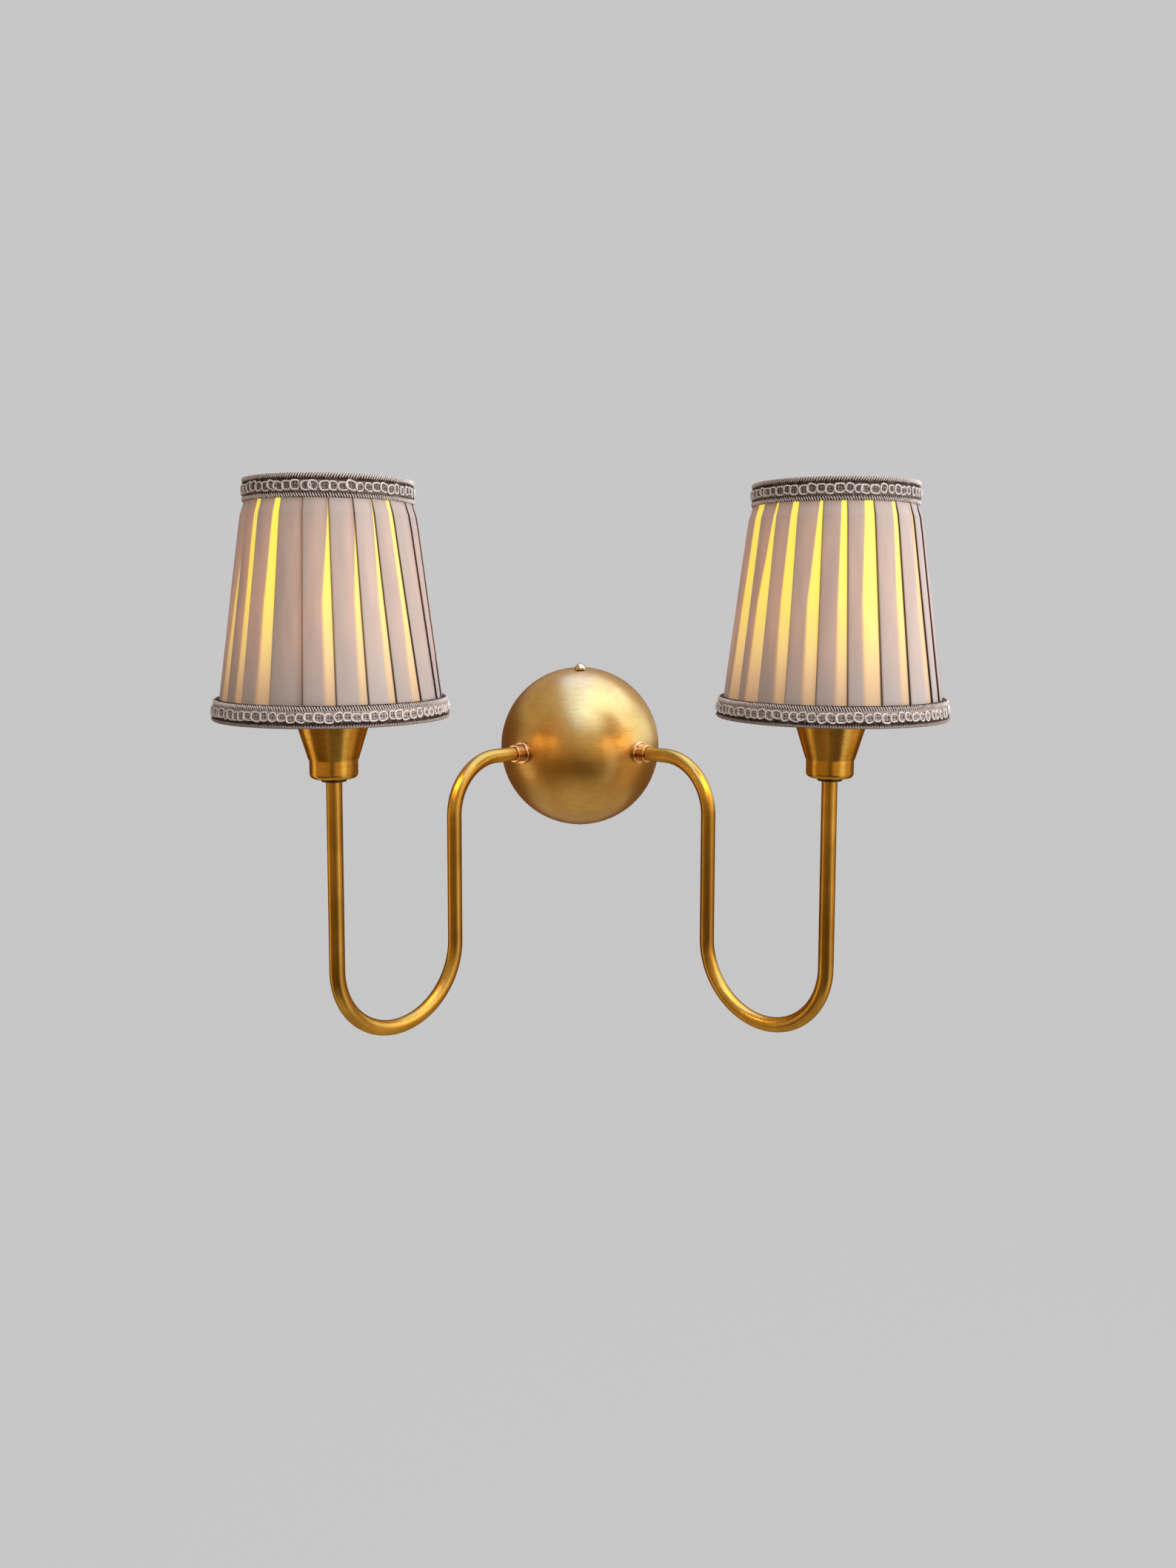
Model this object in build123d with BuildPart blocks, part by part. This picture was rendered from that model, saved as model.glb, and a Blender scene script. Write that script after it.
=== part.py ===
"""Double arm wall sconce: a half-ball brass canopy, two swan-neck tubes and two pleated cloth shades.

Millimetres. The wall is the plane Y = 0, the lamp stands out of it along -Y, +X is to the right
and +Z is up. The origin is on the wall, behind the centre of the canopy. Each arm lies in an upright
plane that is splayed forward of the wall. A point in that plane is (reach, level): how far out from
the half ball's centre, and how high.
"""

import math
import os

from build123d import *

os.makedirs("parts", exist_ok=True)

# ---- Canopy: a spun half ball with a short straight rim ------------
CANOPY_RADIUS = 60.0
CANOPY_WALL = 1.0
CANOPY_RIM = 2.0  # straight part between the wall and the half ball

# ---- Wall bracket: a steel strap with two ears that hold the canopy ------------
BRACKET_WIDTH = 18.0
BRACKET_THICKNESS = 1.6
EAR_GAP = 2.0  # between an ear's corner and the inside of the canopy
EAR_REACH = 18.0  # how far the ears stand out from the wall
BRACKET_BEND = 2.4  # outside radius of the strap's two bends
WALL_SLOT_SPACING = 60.0
WALL_SLOT_LENGTH = 12.0
WALL_SLOT_WIDTH = 5.0
CABLE_HOLE_RADIUS = 5.0

# ---- Canopy screw above, stud below ------------
SCREW_SETBACK = 12.6  # from the wall to the screw's axis
SCREW_SHANK_RADIUS = 2.0
SCREW_HEAD_RADIUS = 4.4
SCREW_HEAD_HEIGHT = 4.6
SCREW_HEAD_SINK = 0.35  # how far the head's foot sits below the canopy's surface at its axis
SCREW_PAST_EAR = 2.5
STUD_TIP_EDGE = 0.5
RIVET_RADIUS = 3.4
RIVET_HEIGHT = 1.2

# ---- Supply terminals and earth ------------
POLE_PITCH = 8.0
POLES = 3
TERMINAL_DEPTH = 12.0
TERMINAL_HEIGHT = 16.0
TERMINAL_TOP = -6.0
TERMINAL_EDGE = 1.2
POLE_BORE_RADIUS = 2.4
POLE_WALL = 0.7
POLE_SCREW_RADIUS = 1.7
POLE_SCREW_SPACING = 8.0
POLE_SCREW_SINK = 0.6  # below the block's face
EARTH_LEVEL = 14.0
EARTH_HEAD_RADIUS = 3.5
EARTH_HEAD_HEIGHT = 2.2
EARTH_TAG_THICKNESS = 0.8
EARTH_TAG_RADIUS = 5.6
EARTH_TAG_GAP = 0.8  # between the lead's end and the screw's head

# ---- Arms ------------
ARM_SPLAY = 45.0  # degrees forward of the wall
TUBE_RADIUS = 5.0
TUBE_WALL = 1.0
INNER_LEG_REACH = 124.6
OUTER_LEG_REACH = 222.0
SHOULDER_RADIUS = 38.0
LEG_FOOT_LEVEL = -125.6  # where both straight legs run into the bottom bend

# ---- Collars that carry the arms in the canopy ------------
SPIGOT_RADIUS = 6.0
SPIGOT_LENGTH = 12.0  # behind the canopy's outer surface
FLANGE_RADIUS = 8.2
FLANGE_THICKNESS = 2.4
FLANGE_EDGE = 0.8
BARREL_RADIUS = 6.4
BARREL_LENGTH = 6.8
BARREL_EDGE = 0.5
COLLAR_WASHER_THICKNESS = 2.2
COLLAR_NUT_FLATS = 17.0
COLLAR_NUT_THICKNESS = 4.0
FIT = 0.05  # radial clearance of a seated piece
TUBE_PAST_SPIGOT = 0.5

# ---- Wires inside the arms ------------
WIRE_RADIUS = 1.0
WIRE_OFFSET = 1.7  # each wire lies this far to one side of the tube's centre line
WIRE_PAIR_HALF = 1.8  # the two arms' wires lie this far each side of a pole's centre
WIRE_BEND = 4.0
WIRE_LEVELS = {-1: 1.0, 1: 7.0}  # the right arm's wires cross above the left arm's

# ---- Cup, cone and lampholder, measured up from the arm's level ------------
SEAT_NUT_RADIUS = 8.0
SEAT_NUT_THICKNESS = 2.2
SEAT_NUT_EDGE = 0.5
CUP_BASE = -1.0
CUP_RADIUS = 15.0
CUP_HEIGHT = 12.0
CUP_WALL = 0.8
CUP_EDGE = 3.0
CONE_FOOT_RADIUS = 15.6
CONE_MOUTH_RADIUS = 25.4
CONE_HEIGHT = 32.0
CONE_WALL = 0.8
NECK_RADIUS = 12.0
NECK_GAP = 0.5  # between the lampholder's neck and the cup's floor
TUBE_INTO_HOLDER = 9.2  # above the cup's floor
HOLDER_RADIUS = 13.3
WIRE_CHAMBER_RADIUS = 9.0
CONTACT_FLOOR = 24.0
CONTACT_FLOOR_THICKNESS = 4.0
SHELL_RADIUS = 7.7
SHELL_WALL = 0.35
SHELL_HEIGHT = 22.0
MOUTH_RADIUS = 11.0
MOUTH_DEPTH = 5.5
SHADE_SEAT = 46.2  # the face that the shade's fitter rests on
SHADE_SEAT_THICKNESS = 2.0
SHADE_SEAT_RADIUS = 17.5
HOLDER_THREAD_RADIUS = 14.1
HOLDER_TOP = 56.0
TERMINAL_POST_BOTTOM = 18.0
TERMINAL_POST_INSIDE = {-1: 2.0, 1: 0.7}  # how far the neutral and the live post start from the middle
TERMINAL_POST_OUTSIDE = 6.0
TERMINAL_POST_HALF_DEPTH = 2.5
CONTACT_PIN_RADIUS = 1.5
CONTACT_PIN_HEIGHT = 5.5
HOLDER_SCREW_RADIUS = 1.4
HOLDER_SCREW_LENGTH = 2.0
SHELL_TAB_WIDTH = 3.0
SHELL_TAB_THICKNESS = 0.8

# ---- Ring nut and fitter ------------
RUN_GAP = 0.2  # between the turning fitter and the faces above and below it
FITTER_BORE_RADIUS = 14.5
FITTER_RADIUS = 21.5
FITTER_THICKNESS = 1.0
RING_NUT_BORE_RADIUS = 14.25
RING_NUT_RADIUS = 19.0
RING_NUT_HEIGHT = 6.0
RING_NUT_NOTCHES = 16
RING_NUT_NOTCH_RADIUS = 1.0

# ---- Lamp bulb ------------
CAP_RADIUS = 6.95
CAP_ROOT_RADIUS = 6.2
CAP_RIDGES = 5
CAP_HEIGHT = 18.0
CAP_WALL = 0.4
TIP_RADIUS = 2.4
TIP_HEIGHT = 1.2
INSULATOR_HEIGHT = 3.8
CONTACT_GAP = 0.3
BULB_NECK_RADIUS = 8.2
BULB_RADIUS = 17.5
BULB_HOUSING_HEIGHT = 28.0
BULB_HOUSING_WALL = 1.2
HOUSING_FLARE = (0.41, 0.45)  # the share of its widening that it has at this share of its height
BULB_GLASS_HEIGHT = 57.0
BULB_GLASS_WALL = 1.0
BULB_BOARD_THICKNESS = 1.6
FLAME_BELLY = (0.93, 0.34)  # shares of the bulb's radius and of the glass's height
FLAME_NECK = (0.34, 0.84)
CHIP_SIZE = 2.8
CHIP_HEIGHT = 0.7
CHIPS = 8

# ---- Shade ------------
SHADE_BOTTOM = 37.5
SHADE_HEIGHT = 146.0
PLEATS = 22
FOLD_ANGLES = {-1: -76.8, 1: -94.7}  # degrees in plan, where one fold of each shade lies
HEM_RADIUS = 69.7  # outside of the pleats at the bottom edge
SKIRT_RADIUS = 68.0  # where they leave the bottom braid
SHOULDER_CLOTH_RADIUS = 53.7  # just below the top braid
WAIST_RADIUS = 50.9  # pinched in under the top braid
CROWN_RADIUS = 50.4  # at the top edge
SHOULDER_DROP = 22.0  # from the top edge to the shoulder
HEM_FOLD = 1.6  # height of a fold's step
SHOULDER_FOLD = 1.3
CROWN_FOLD = 0.6
FOLD_STEP = 0.03  # share of a pleat's turn that its step outwards takes
LINING_FOOT_RADIUS = 67.1
LINING_CROWN_RADIUS = 47.6
LINING_THICKNESS = 0.45
LAYER_GAP = 0.1
BINDING_THICKNESS = 1.5
BINDING_INSET = 4.6  # how far the bindings reach in over the frame's wires
TOP_BRAID_HEIGHT = 14.0
TOP_BRAID_DEPTH = 1.0  # over the cloth's widest part under it
BOTTOM_BRAID_HEIGHT = 13.0
BOTTOM_BRAID_DEPTH = 3.0
BRAID_EDGE = 0.4  # how far a braid's long edges are rounded in
BRAID_EDGE_HEIGHT = 1.0
FRAME_WIRE_RADIUS = 1.5
RIB_RADIUS = 1.0
RIBS = 6
SPOKES = 3
SPOKE_RADIUS = 1.2
SPOKE_ANGLE = 90.0  # degrees in plan, so one spoke points at the wall
SPOKE_START = SHADE_SEAT_RADIUS + 1.2  # clear of the seat that the fitter rests on
SPOKE_SINK = 0.4  # how far the weld sinks a spoke into the ring

# ---- Places that follow from the sizes ------------
splay = math.radians(ARM_SPLAY)
ball_centre = Vector(0, -CANOPY_RIM, 0)
canopy_inside = CANOPY_RADIUS - CANOPY_WALL
ear_corner = math.hypot(BRACKET_WIDTH / 2, EAR_REACH - CANOPY_RIM)
ear_level = math.sqrt((canopy_inside - EAR_GAP) ** 2 - ear_corner**2)  # outer face of each ear
screw_surface = math.sqrt(CANOPY_RADIUS**2 - (SCREW_SETBACK - CANOPY_RIM) ** 2)  # the ball at the screw's axis
tube_bore = TUBE_RADIUS - TUBE_WALL
spigot_end = CANOPY_RADIUS - SPIGOT_LENGTH
tube_start = spigot_end + TUBE_PAST_SPIGOT
cup_floor = CUP_BASE + CUP_WALL
cup_top = CUP_BASE + CUP_HEIGHT
tube_top = cup_floor + TUBE_INTO_HOLDER
cone_floor = cup_top + CONE_WALL
cone_top = cup_top + CONE_HEIGHT
shell_floor = CONTACT_FLOOR + CONTACT_FLOOR_THICKNESS
contact_top = CONTACT_FLOOR + CONTACT_PIN_HEIGHT
bulb_tip = contact_top + CONTACT_GAP
cap_bottom = bulb_tip + TIP_HEIGHT + INSULATOR_HEIGHT
cap_top = cap_bottom + CAP_HEIGHT
housing_top = cap_top + BULB_HOUSING_HEIGHT
bulb_top = housing_top + BULB_GLASS_HEIGHT
fitter_bottom = SHADE_SEAT + RUN_GAP
fitter_top = fitter_bottom + FITTER_THICKNESS
ring_nut_bottom = fitter_top + RUN_GAP
shade_top = SHADE_BOTTOM + SHADE_HEIGHT
cloth_bottom = SHADE_BOTTOM + BINDING_THICKNESS
cloth_top = shade_top - BINDING_THICKNESS
lining_slope = (LINING_FOOT_RADIUS - LINING_CROWN_RADIUS) / SHADE_HEIGHT
lining_angle = math.atan(lining_slope)
top_braid_radius = WAIST_RADIUS + TOP_BRAID_DEPTH
bottom_braid_radius = HEM_RADIUS + BOTTOM_BRAID_DEPTH


def save(piece, name):
    """Names a finished piece and writes it as one file."""
    piece.part.label = name
    export_step(piece.part, f"parts/{name}.step")


def outward(side):
    """The level direction in which an arm leaves the canopy; side is -1 for left and 1 for right."""
    return Vector(side * math.cos(splay), -math.sin(splay), 0)


def arm_plane(side, shift=0.0):
    """The arm's upright plane, in reach and level. shift moves it sideways, off the tube's centre line."""
    out = outward(side)
    across = out.cross(Vector(0, 0, 1))
    return Plane(origin=ball_centre + across * shift, x_dir=out, z_dir=across)


def lamp_plane(side, turn=0.0):
    """An upright plane through the lamp's axis, in radius and level, turned from the arm's plane."""
    foot = ball_centre + outward(side) * OUTER_LEG_REACH
    out = outward(side).rotate(Axis.Z, turn)
    return Plane(origin=foot, x_dir=out, z_dir=out.cross(Vector(0, 0, 1)))


def lamp_level(side, level, turn=0.0):
    """A level plane on the lamp's axis, its X pointing straight out from the wall bracket."""
    foot = ball_centre + outward(side) * OUTER_LEG_REACH
    x_dir = outward(side).rotate(Axis.Z, turn)
    return Plane(origin=foot + Vector(0, 0, level), x_dir=x_dir, z_dir=(0, 0, 1))


def lamp_axis(side):
    return Axis(lamp_plane(side).origin, (0, 0, 1))


def arm_axis(side):
    return Axis(ball_centre, outward(side))


def turn_to(side, angle):
    """The turn about the lamp's axis that brings the arm's own direction to an angle in plan."""
    out = outward(side)
    return angle - math.degrees(math.atan2(out.Y, out.X))


def turned(side, points):
    """A solid of revolution about the lamp's axis from a closed outline in radius and level."""
    with BuildPart() as piece:
        with BuildSketch(lamp_plane(side)):
            with BuildLine():
                Polyline(*points, close=True)
            make_face()
        revolve(axis=lamp_axis(side))
    return piece


def lining_radius(level, inward=0.0):
    """Radius of the shade's lining at a level, less a distance inwards square to the cloth."""
    run = LINING_FOOT_RADIUS - (level - SHADE_BOTTOM) * lining_slope
    return run - inward / math.cos(lining_angle)


# ==== Wall side: bracket, canopy, its screw and its stud ============


def wall_bracket():
    half = BRACKET_WIDTH / 2
    with BuildPart() as bracket:
        with BuildSketch(Plane.YZ) as side_view:
            with Locations((-EAR_REACH / 2, 0)):
                Rectangle(EAR_REACH, 2 * ear_level)
            fillet(side_view.vertices().group_by(Axis.X)[-1], BRACKET_BEND)
            with Locations((-(EAR_REACH + BRACKET_THICKNESS) / 2, 0)):
                inner_height = 2 * (ear_level - BRACKET_THICKNESS)
                Rectangle(EAR_REACH - BRACKET_THICKNESS, inner_height, mode=Mode.SUBTRACT)
        extrude(amount=half, both=True)
        with BuildSketch(Plane.XZ):
            with Locations((0, WALL_SLOT_SPACING / 2), (0, -WALL_SLOT_SPACING / 2)):
                SlotOverall(WALL_SLOT_LENGTH, WALL_SLOT_WIDTH, rotation=90)
            Circle(CABLE_HOLE_RADIUS)
            with Locations((0, EARTH_LEVEL)):
                Circle(SCREW_SHANK_RADIUS)
        extrude(amount=BRACKET_THICKNESS, mode=Mode.SUBTRACT)
        with BuildSketch(Plane.XY):
            with Locations((0, -SCREW_SETBACK)):
                Circle(SCREW_SHANK_RADIUS + FIT)
        extrude(amount=ear_level, both=True, mode=Mode.SUBTRACT)
    return bracket


def ball(radius):
    """A whole ball about the canopy's centre, kept out of any part under way."""
    return Pos(ball_centre) * Sphere(radius, mode=Mode.PRIVATE)


def canopy():
    with BuildPart() as shell:
        with BuildSketch(Plane.XY):
            with BuildLine():
                outer_rim = Line((CANOPY_RADIUS, 0), (CANOPY_RADIUS, -CANOPY_RIM))
                CenterArc((0, -CANOPY_RIM), CANOPY_RADIUS, 0, -90)
                Line((0, -CANOPY_RIM - CANOPY_RADIUS), (0, -CANOPY_RIM - canopy_inside))
                CenterArc((0, -CANOPY_RIM), canopy_inside, 0, -90)
                Line((canopy_inside, -CANOPY_RIM), (canopy_inside, 0))
                Line((canopy_inside, 0), outer_rim @ 0)
            make_face()
        revolve(axis=Axis.Y)
        for side in (-1, 1):
            with Locations(Plane(origin=ball_centre, z_dir=outward(side))):
                Cylinder(
                    SPIGOT_RADIUS + FIT,
                    CANOPY_RADIUS + FLANGE_THICKNESS,
                    align=(Align.CENTER, Align.CENTER, Align.MIN),
                    mode=Mode.SUBTRACT,
                )
        with Locations((0, -SCREW_SETBACK, 0)):
            Cylinder(SCREW_SHANK_RADIUS + 2 * FIT, 2 * CANOPY_RADIUS, mode=Mode.SUBTRACT)
    return shell


def canopy_screw():
    """The dome-headed screw on top, its foot shaped to the ball."""
    foot = screw_surface - SCREW_HEAD_SINK
    skirt_height = SCREW_HEAD_HEIGHT * 0.25
    dome_height = SCREW_HEAD_HEIGHT - skirt_height
    crown = (SCREW_HEAD_RADIUS**2 + dome_height**2) / (2 * dome_height)
    with BuildPart() as screw:
        with BuildSketch(Plane(origin=(0, -SCREW_SETBACK, 0), x_dir=(1, 0, 0), z_dir=(0, -1, 0))):
            with BuildLine():
                skirt = Line((SCREW_HEAD_RADIUS, foot), (SCREW_HEAD_RADIUS, foot + skirt_height))
                dome = RadiusArc(skirt @ 1, (0, foot + SCREW_HEAD_HEIGHT), -crown)
                Polyline(dome @ 1, (0, foot), skirt @ 0)
            make_face()
        revolve(axis=Axis((0, -SCREW_SETBACK, 0), (0, 0, 1)))
        add(ball(CANOPY_RADIUS), mode=Mode.SUBTRACT)
        shank_foot = ear_level - BRACKET_THICKNESS - SCREW_PAST_EAR
        with BuildSketch(Plane.XY.offset(shank_foot)):
            with Locations((0, -SCREW_SETBACK)):
                Circle(SCREW_SHANK_RADIUS)
        extrude(amount=foot + SCREW_HEAD_HEIGHT / 2 - shank_foot)
    return screw


def canopy_stud():
    """A stud riveted into the lower ear, on which the canopy hooks; its tip is flush with the ball."""
    ear_inside = -(ear_level - BRACKET_THICKNESS)
    with BuildPart() as stud:
        with BuildSketch(Plane.XY.offset(-screw_surface)):
            with Locations((0, -SCREW_SETBACK)):
                Circle(SCREW_SHANK_RADIUS)
        extrude(amount=ear_inside + screw_surface)
        chamfer(stud.edges().sort_by(Axis.Z)[0], STUD_TIP_EDGE)
        with BuildSketch(Plane.XY.offset(ear_inside)):
            with Locations((0, -SCREW_SETBACK)):
                Circle(RIVET_RADIUS)
        extrude(amount=RIVET_HEIGHT)
    return stud


def terminal_block():
    """A three-pole block on the bracket, each pole an upright bore with two screw wells in front."""
    width = POLE_PITCH * POLES
    with BuildPart() as block:
        with Locations((0, -BRACKET_THICKNESS, TERMINAL_TOP)):
            Box(width, TERMINAL_DEPTH, TERMINAL_HEIGHT, align=(Align.CENTER, Align.MAX, Align.MAX))
        fillet(block.edges().filter_by(Axis.Z).sort_by(Axis.Y)[:2], TERMINAL_EDGE)
        with Locations((0, -BRACKET_THICKNESS - TERMINAL_DEPTH / 2, TERMINAL_TOP - TERMINAL_HEIGHT / 2)):
            with GridLocations(POLE_PITCH, 1, POLES, 1):
                Cylinder(POLE_BORE_RADIUS, TERMINAL_HEIGHT, mode=Mode.SUBTRACT)
        for x, level in pole_screw_places():
            with Locations(Plane(origin=(x, -BRACKET_THICKNESS - TERMINAL_DEPTH, level), z_dir=(0, 1, 0))):
                Cylinder(
                    POLE_SCREW_RADIUS + 2 * FIT,
                    TERMINAL_DEPTH / 2,
                    align=(Align.CENTER, Align.CENTER, Align.MIN),
                    mode=Mode.SUBTRACT,
                )
    return block


def pole_places():
    return [(i - (POLES - 1) / 2) * POLE_PITCH for i in range(POLES)]


def pole_screw_places():
    middle = TERMINAL_TOP - TERMINAL_HEIGHT / 2
    levels = (middle - POLE_SCREW_SPACING / 2, middle + POLE_SCREW_SPACING / 2)
    return [(x, level) for x in pole_places() for level in levels]


def terminal_poles():
    """The brass tubes of the three poles and their six clamp screws."""
    depth = -BRACKET_THICKNESS - TERMINAL_DEPTH / 2
    screw_start = POLE_BORE_RADIUS - POLE_WALL
    with BuildPart() as poles:
        with BuildSketch(Plane.XY.offset(TERMINAL_TOP - TERMINAL_HEIGHT)):
            with Locations(*[(x, depth) for x in pole_places()]):
                Circle(POLE_BORE_RADIUS - FIT)
                Circle(POLE_BORE_RADIUS - FIT - POLE_WALL, mode=Mode.SUBTRACT)
        extrude(amount=TERMINAL_HEIGHT)
        for x, level in pole_screw_places():
            with Locations(Plane(origin=(x, depth - screw_start, level), z_dir=(0, -1, 0))):
                Cylinder(
                    POLE_SCREW_RADIUS,
                    TERMINAL_DEPTH / 2 - POLE_SCREW_SINK - screw_start,
                    align=(Align.CENTER, Align.CENTER, Align.MIN),
                )
    return poles


def earth_screw():
    with BuildPart() as screw:
        with BuildSketch(Plane.XZ.offset(BRACKET_THICKNESS + EARTH_TAG_THICKNESS)):
            with Locations((0, EARTH_LEVEL)):
                Circle(EARTH_HEAD_RADIUS)
        extrude(amount=EARTH_HEAD_HEIGHT)
        fillet(screw.edges().sort_by(Axis.Y)[0], EARTH_HEAD_HEIGHT * 0.45)
        with BuildSketch(Plane.XZ.offset(2 * FIT)):
            with Locations((0, EARTH_LEVEL)):
                Circle(SCREW_SHANK_RADIUS - FIT)
        extrude(amount=BRACKET_THICKNESS + EARTH_TAG_THICKNESS)
    return screw


def earth_lead():
    """A lead from the third pole to a ring tag under the earth screw."""
    pole_x = pole_places()[-1]
    pole_y = -BRACKET_THICKNESS - TERMINAL_DEPTH / 2
    tag_face = -BRACKET_THICKNESS - EARTH_TAG_THICKNESS
    with BuildPart() as lead:
        with BuildSketch(Plane.XZ.offset(BRACKET_THICKNESS)):
            with Locations((0, EARTH_LEVEL)):
                Circle(EARTH_TAG_RADIUS)
                Circle(SCREW_SHANK_RADIUS, mode=Mode.SUBTRACT)
        extrude(amount=EARTH_TAG_THICKNESS)
        with BuildLine() as route:
            FilletPolyline(
                (pole_x, pole_y, TERMINAL_TOP),
                (pole_x, pole_y, EARTH_LEVEL),
                (EARTH_HEAD_RADIUS + EARTH_TAG_GAP, tag_face - WIRE_RADIUS / 2, EARTH_LEVEL),
                radius=WIRE_BEND,
            )
        with BuildSketch(Plane(origin=route.line @ 0, z_dir=route.line % 0)):
            Circle(WIRE_RADIUS)
        sweep(path=route.line)
    return lead


# ==== Arm: collar, nut, tube and wires ============


def collar(side):
    """A turned bush: flange and barrel outside the canopy, threaded spigot through it."""
    flange_end = CANOPY_RADIUS + FLANGE_THICKNESS
    barrel_end = flange_end + BARREL_LENGTH
    with BuildPart() as bush:
        with BuildSketch(arm_plane(side)) as outline:
            with BuildLine():
                Polyline(
                    (spigot_end + SPIGOT_LENGTH / 2, 0),
                    (spigot_end + SPIGOT_LENGTH / 2, FLANGE_RADIUS),
                    (flange_end, FLANGE_RADIUS),
                    (flange_end, BARREL_RADIUS),
                    (barrel_end, BARREL_RADIUS),
                    (barrel_end, 0),
                    close=True,
                )
            make_face()
        revolve(axis=arm_axis(side))
        add(ball(CANOPY_RADIUS), mode=Mode.SUBTRACT)
        rims = bush.edges().filter_by(GeomType.CIRCLE)
        flange_rim = [e for e in rims if abs(e.radius - FLANGE_RADIUS) < FIT]
        fillet(max(flange_rim, key=lambda e: (e.arc_center - ball_centre).length), FLANGE_EDGE)
        rims = bush.edges().filter_by(GeomType.CIRCLE)
        barrel_rim = [e for e in rims if abs(e.radius - BARREL_RADIUS) < FIT]
        fillet(max(barrel_rim, key=lambda e: (e.arc_center - ball_centre).length), BARREL_EDGE)
        with BuildSketch(Plane(origin=ball_centre + outward(side) * spigot_end, z_dir=outward(side))):
            Circle(SPIGOT_RADIUS)
        extrude(amount=SPIGOT_LENGTH + FLANGE_THICKNESS / 2)
        with BuildSketch(Plane(origin=ball_centre + outward(side) * spigot_end, z_dir=outward(side))):
            Circle(TUBE_RADIUS + FIT)
        extrude(amount=SPIGOT_LENGTH + FLANGE_THICKNESS + BARREL_LENGTH, mode=Mode.SUBTRACT)
    return bush


def washer_face():
    """How far out the collar's washer has its flat face."""
    return math.sqrt(canopy_inside**2 - FLANGE_RADIUS**2) - COLLAR_WASHER_THICKNESS


def collar_washer(side):
    with BuildPart() as washer:
        with BuildSketch(Plane(origin=ball_centre + outward(side) * washer_face(), z_dir=outward(side))):
            Circle(FLANGE_RADIUS)
            Circle(SPIGOT_RADIUS + FIT, mode=Mode.SUBTRACT)
        extrude(amount=2 * COLLAR_WASHER_THICKNESS)
        add(ball(canopy_inside), mode=Mode.INTERSECT)
    return washer


def collar_nut(side):
    with BuildPart() as nut:
        back = washer_face() - COLLAR_NUT_THICKNESS
        with BuildSketch(Plane(origin=ball_centre + outward(side) * back, z_dir=outward(side))):
            RegularPolygon(COLLAR_NUT_FLATS / 2, 6, major_radius=False)
            Circle(SPIGOT_RADIUS + FIT, mode=Mode.SUBTRACT)
        extrude(amount=COLLAR_NUT_THICKNESS)
    return nut


def arm_line(start, top):
    """The tube's centre line in the arm's plane: out, over the shoulder, round the bottom bend and up."""
    out = Line((start, 0), (INNER_LEG_REACH - SHOULDER_RADIUS, 0))
    over = TangentArc(out @ 1, (INNER_LEG_REACH, -SHOULDER_RADIUS), tangent=out % 1)
    down = Line(over @ 1, (INNER_LEG_REACH, LEG_FOOT_LEVEL))
    round_bottom = TangentArc(down @ 1, (OUTER_LEG_REACH, LEG_FOOT_LEVEL), tangent=down % 1)
    Line(round_bottom @ 1, (OUTER_LEG_REACH, top))


def arm(side):
    with BuildPart() as tube:
        with BuildLine(arm_plane(side)) as centre_line:
            arm_line(tube_start, tube_top)
        with BuildSketch(Plane(origin=centre_line.line @ 0, z_dir=centre_line.line % 0)):
            Circle(TUBE_RADIUS)
            Circle(tube_bore, mode=Mode.SUBTRACT)
        sweep(path=centre_line.line)
    return tube


def arm_wires(side):
    """A line and a neutral wire, from their poles through the arm to the lampholder's two contact posts."""
    poles_y = -BRACKET_THICKNESS - TERMINAL_DEPTH / 2 - side * WIRE_PAIR_HALF
    with BuildPart() as wires:
        for across, pole_x in zip((-side, side), pole_places()):
            plane = arm_plane(side, across * WIRE_OFFSET)
            entry = plane.from_local_coords((tube_start, 0))
            with BuildLine() as route:
                FilletPolyline(
                    (pole_x, poles_y, TERMINAL_TOP),
                    (pole_x, poles_y, WIRE_LEVELS[side]),
                    plane.from_local_coords((tube_start - 2 * WIRE_BEND, 0)),
                    entry,
                    radius=WIRE_BEND,
                )
                with BuildLine(plane, mode=Mode.PRIVATE) as inside:
                    arm_line(tube_start, TERMINAL_POST_BOTTOM)
                add(inside.line)
            with BuildSketch(Plane(origin=route.line @ 0, z_dir=route.line % 0)):
                Circle(WIRE_RADIUS)
            sweep(path=route.line)
    return wires


# ==== Lamp end: seat nut, cup, cone, lampholder and its contacts ============


def seat_nut(side):
    bore = TUBE_RADIUS + FIT
    foot = CUP_BASE - SEAT_NUT_THICKNESS
    return turned(
        side,
        [
            (bore, foot),
            (SEAT_NUT_RADIUS - SEAT_NUT_EDGE, foot),
            (SEAT_NUT_RADIUS, foot + SEAT_NUT_EDGE),
            (SEAT_NUT_RADIUS, CUP_BASE),
            (bore, CUP_BASE),
        ],
    )


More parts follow.
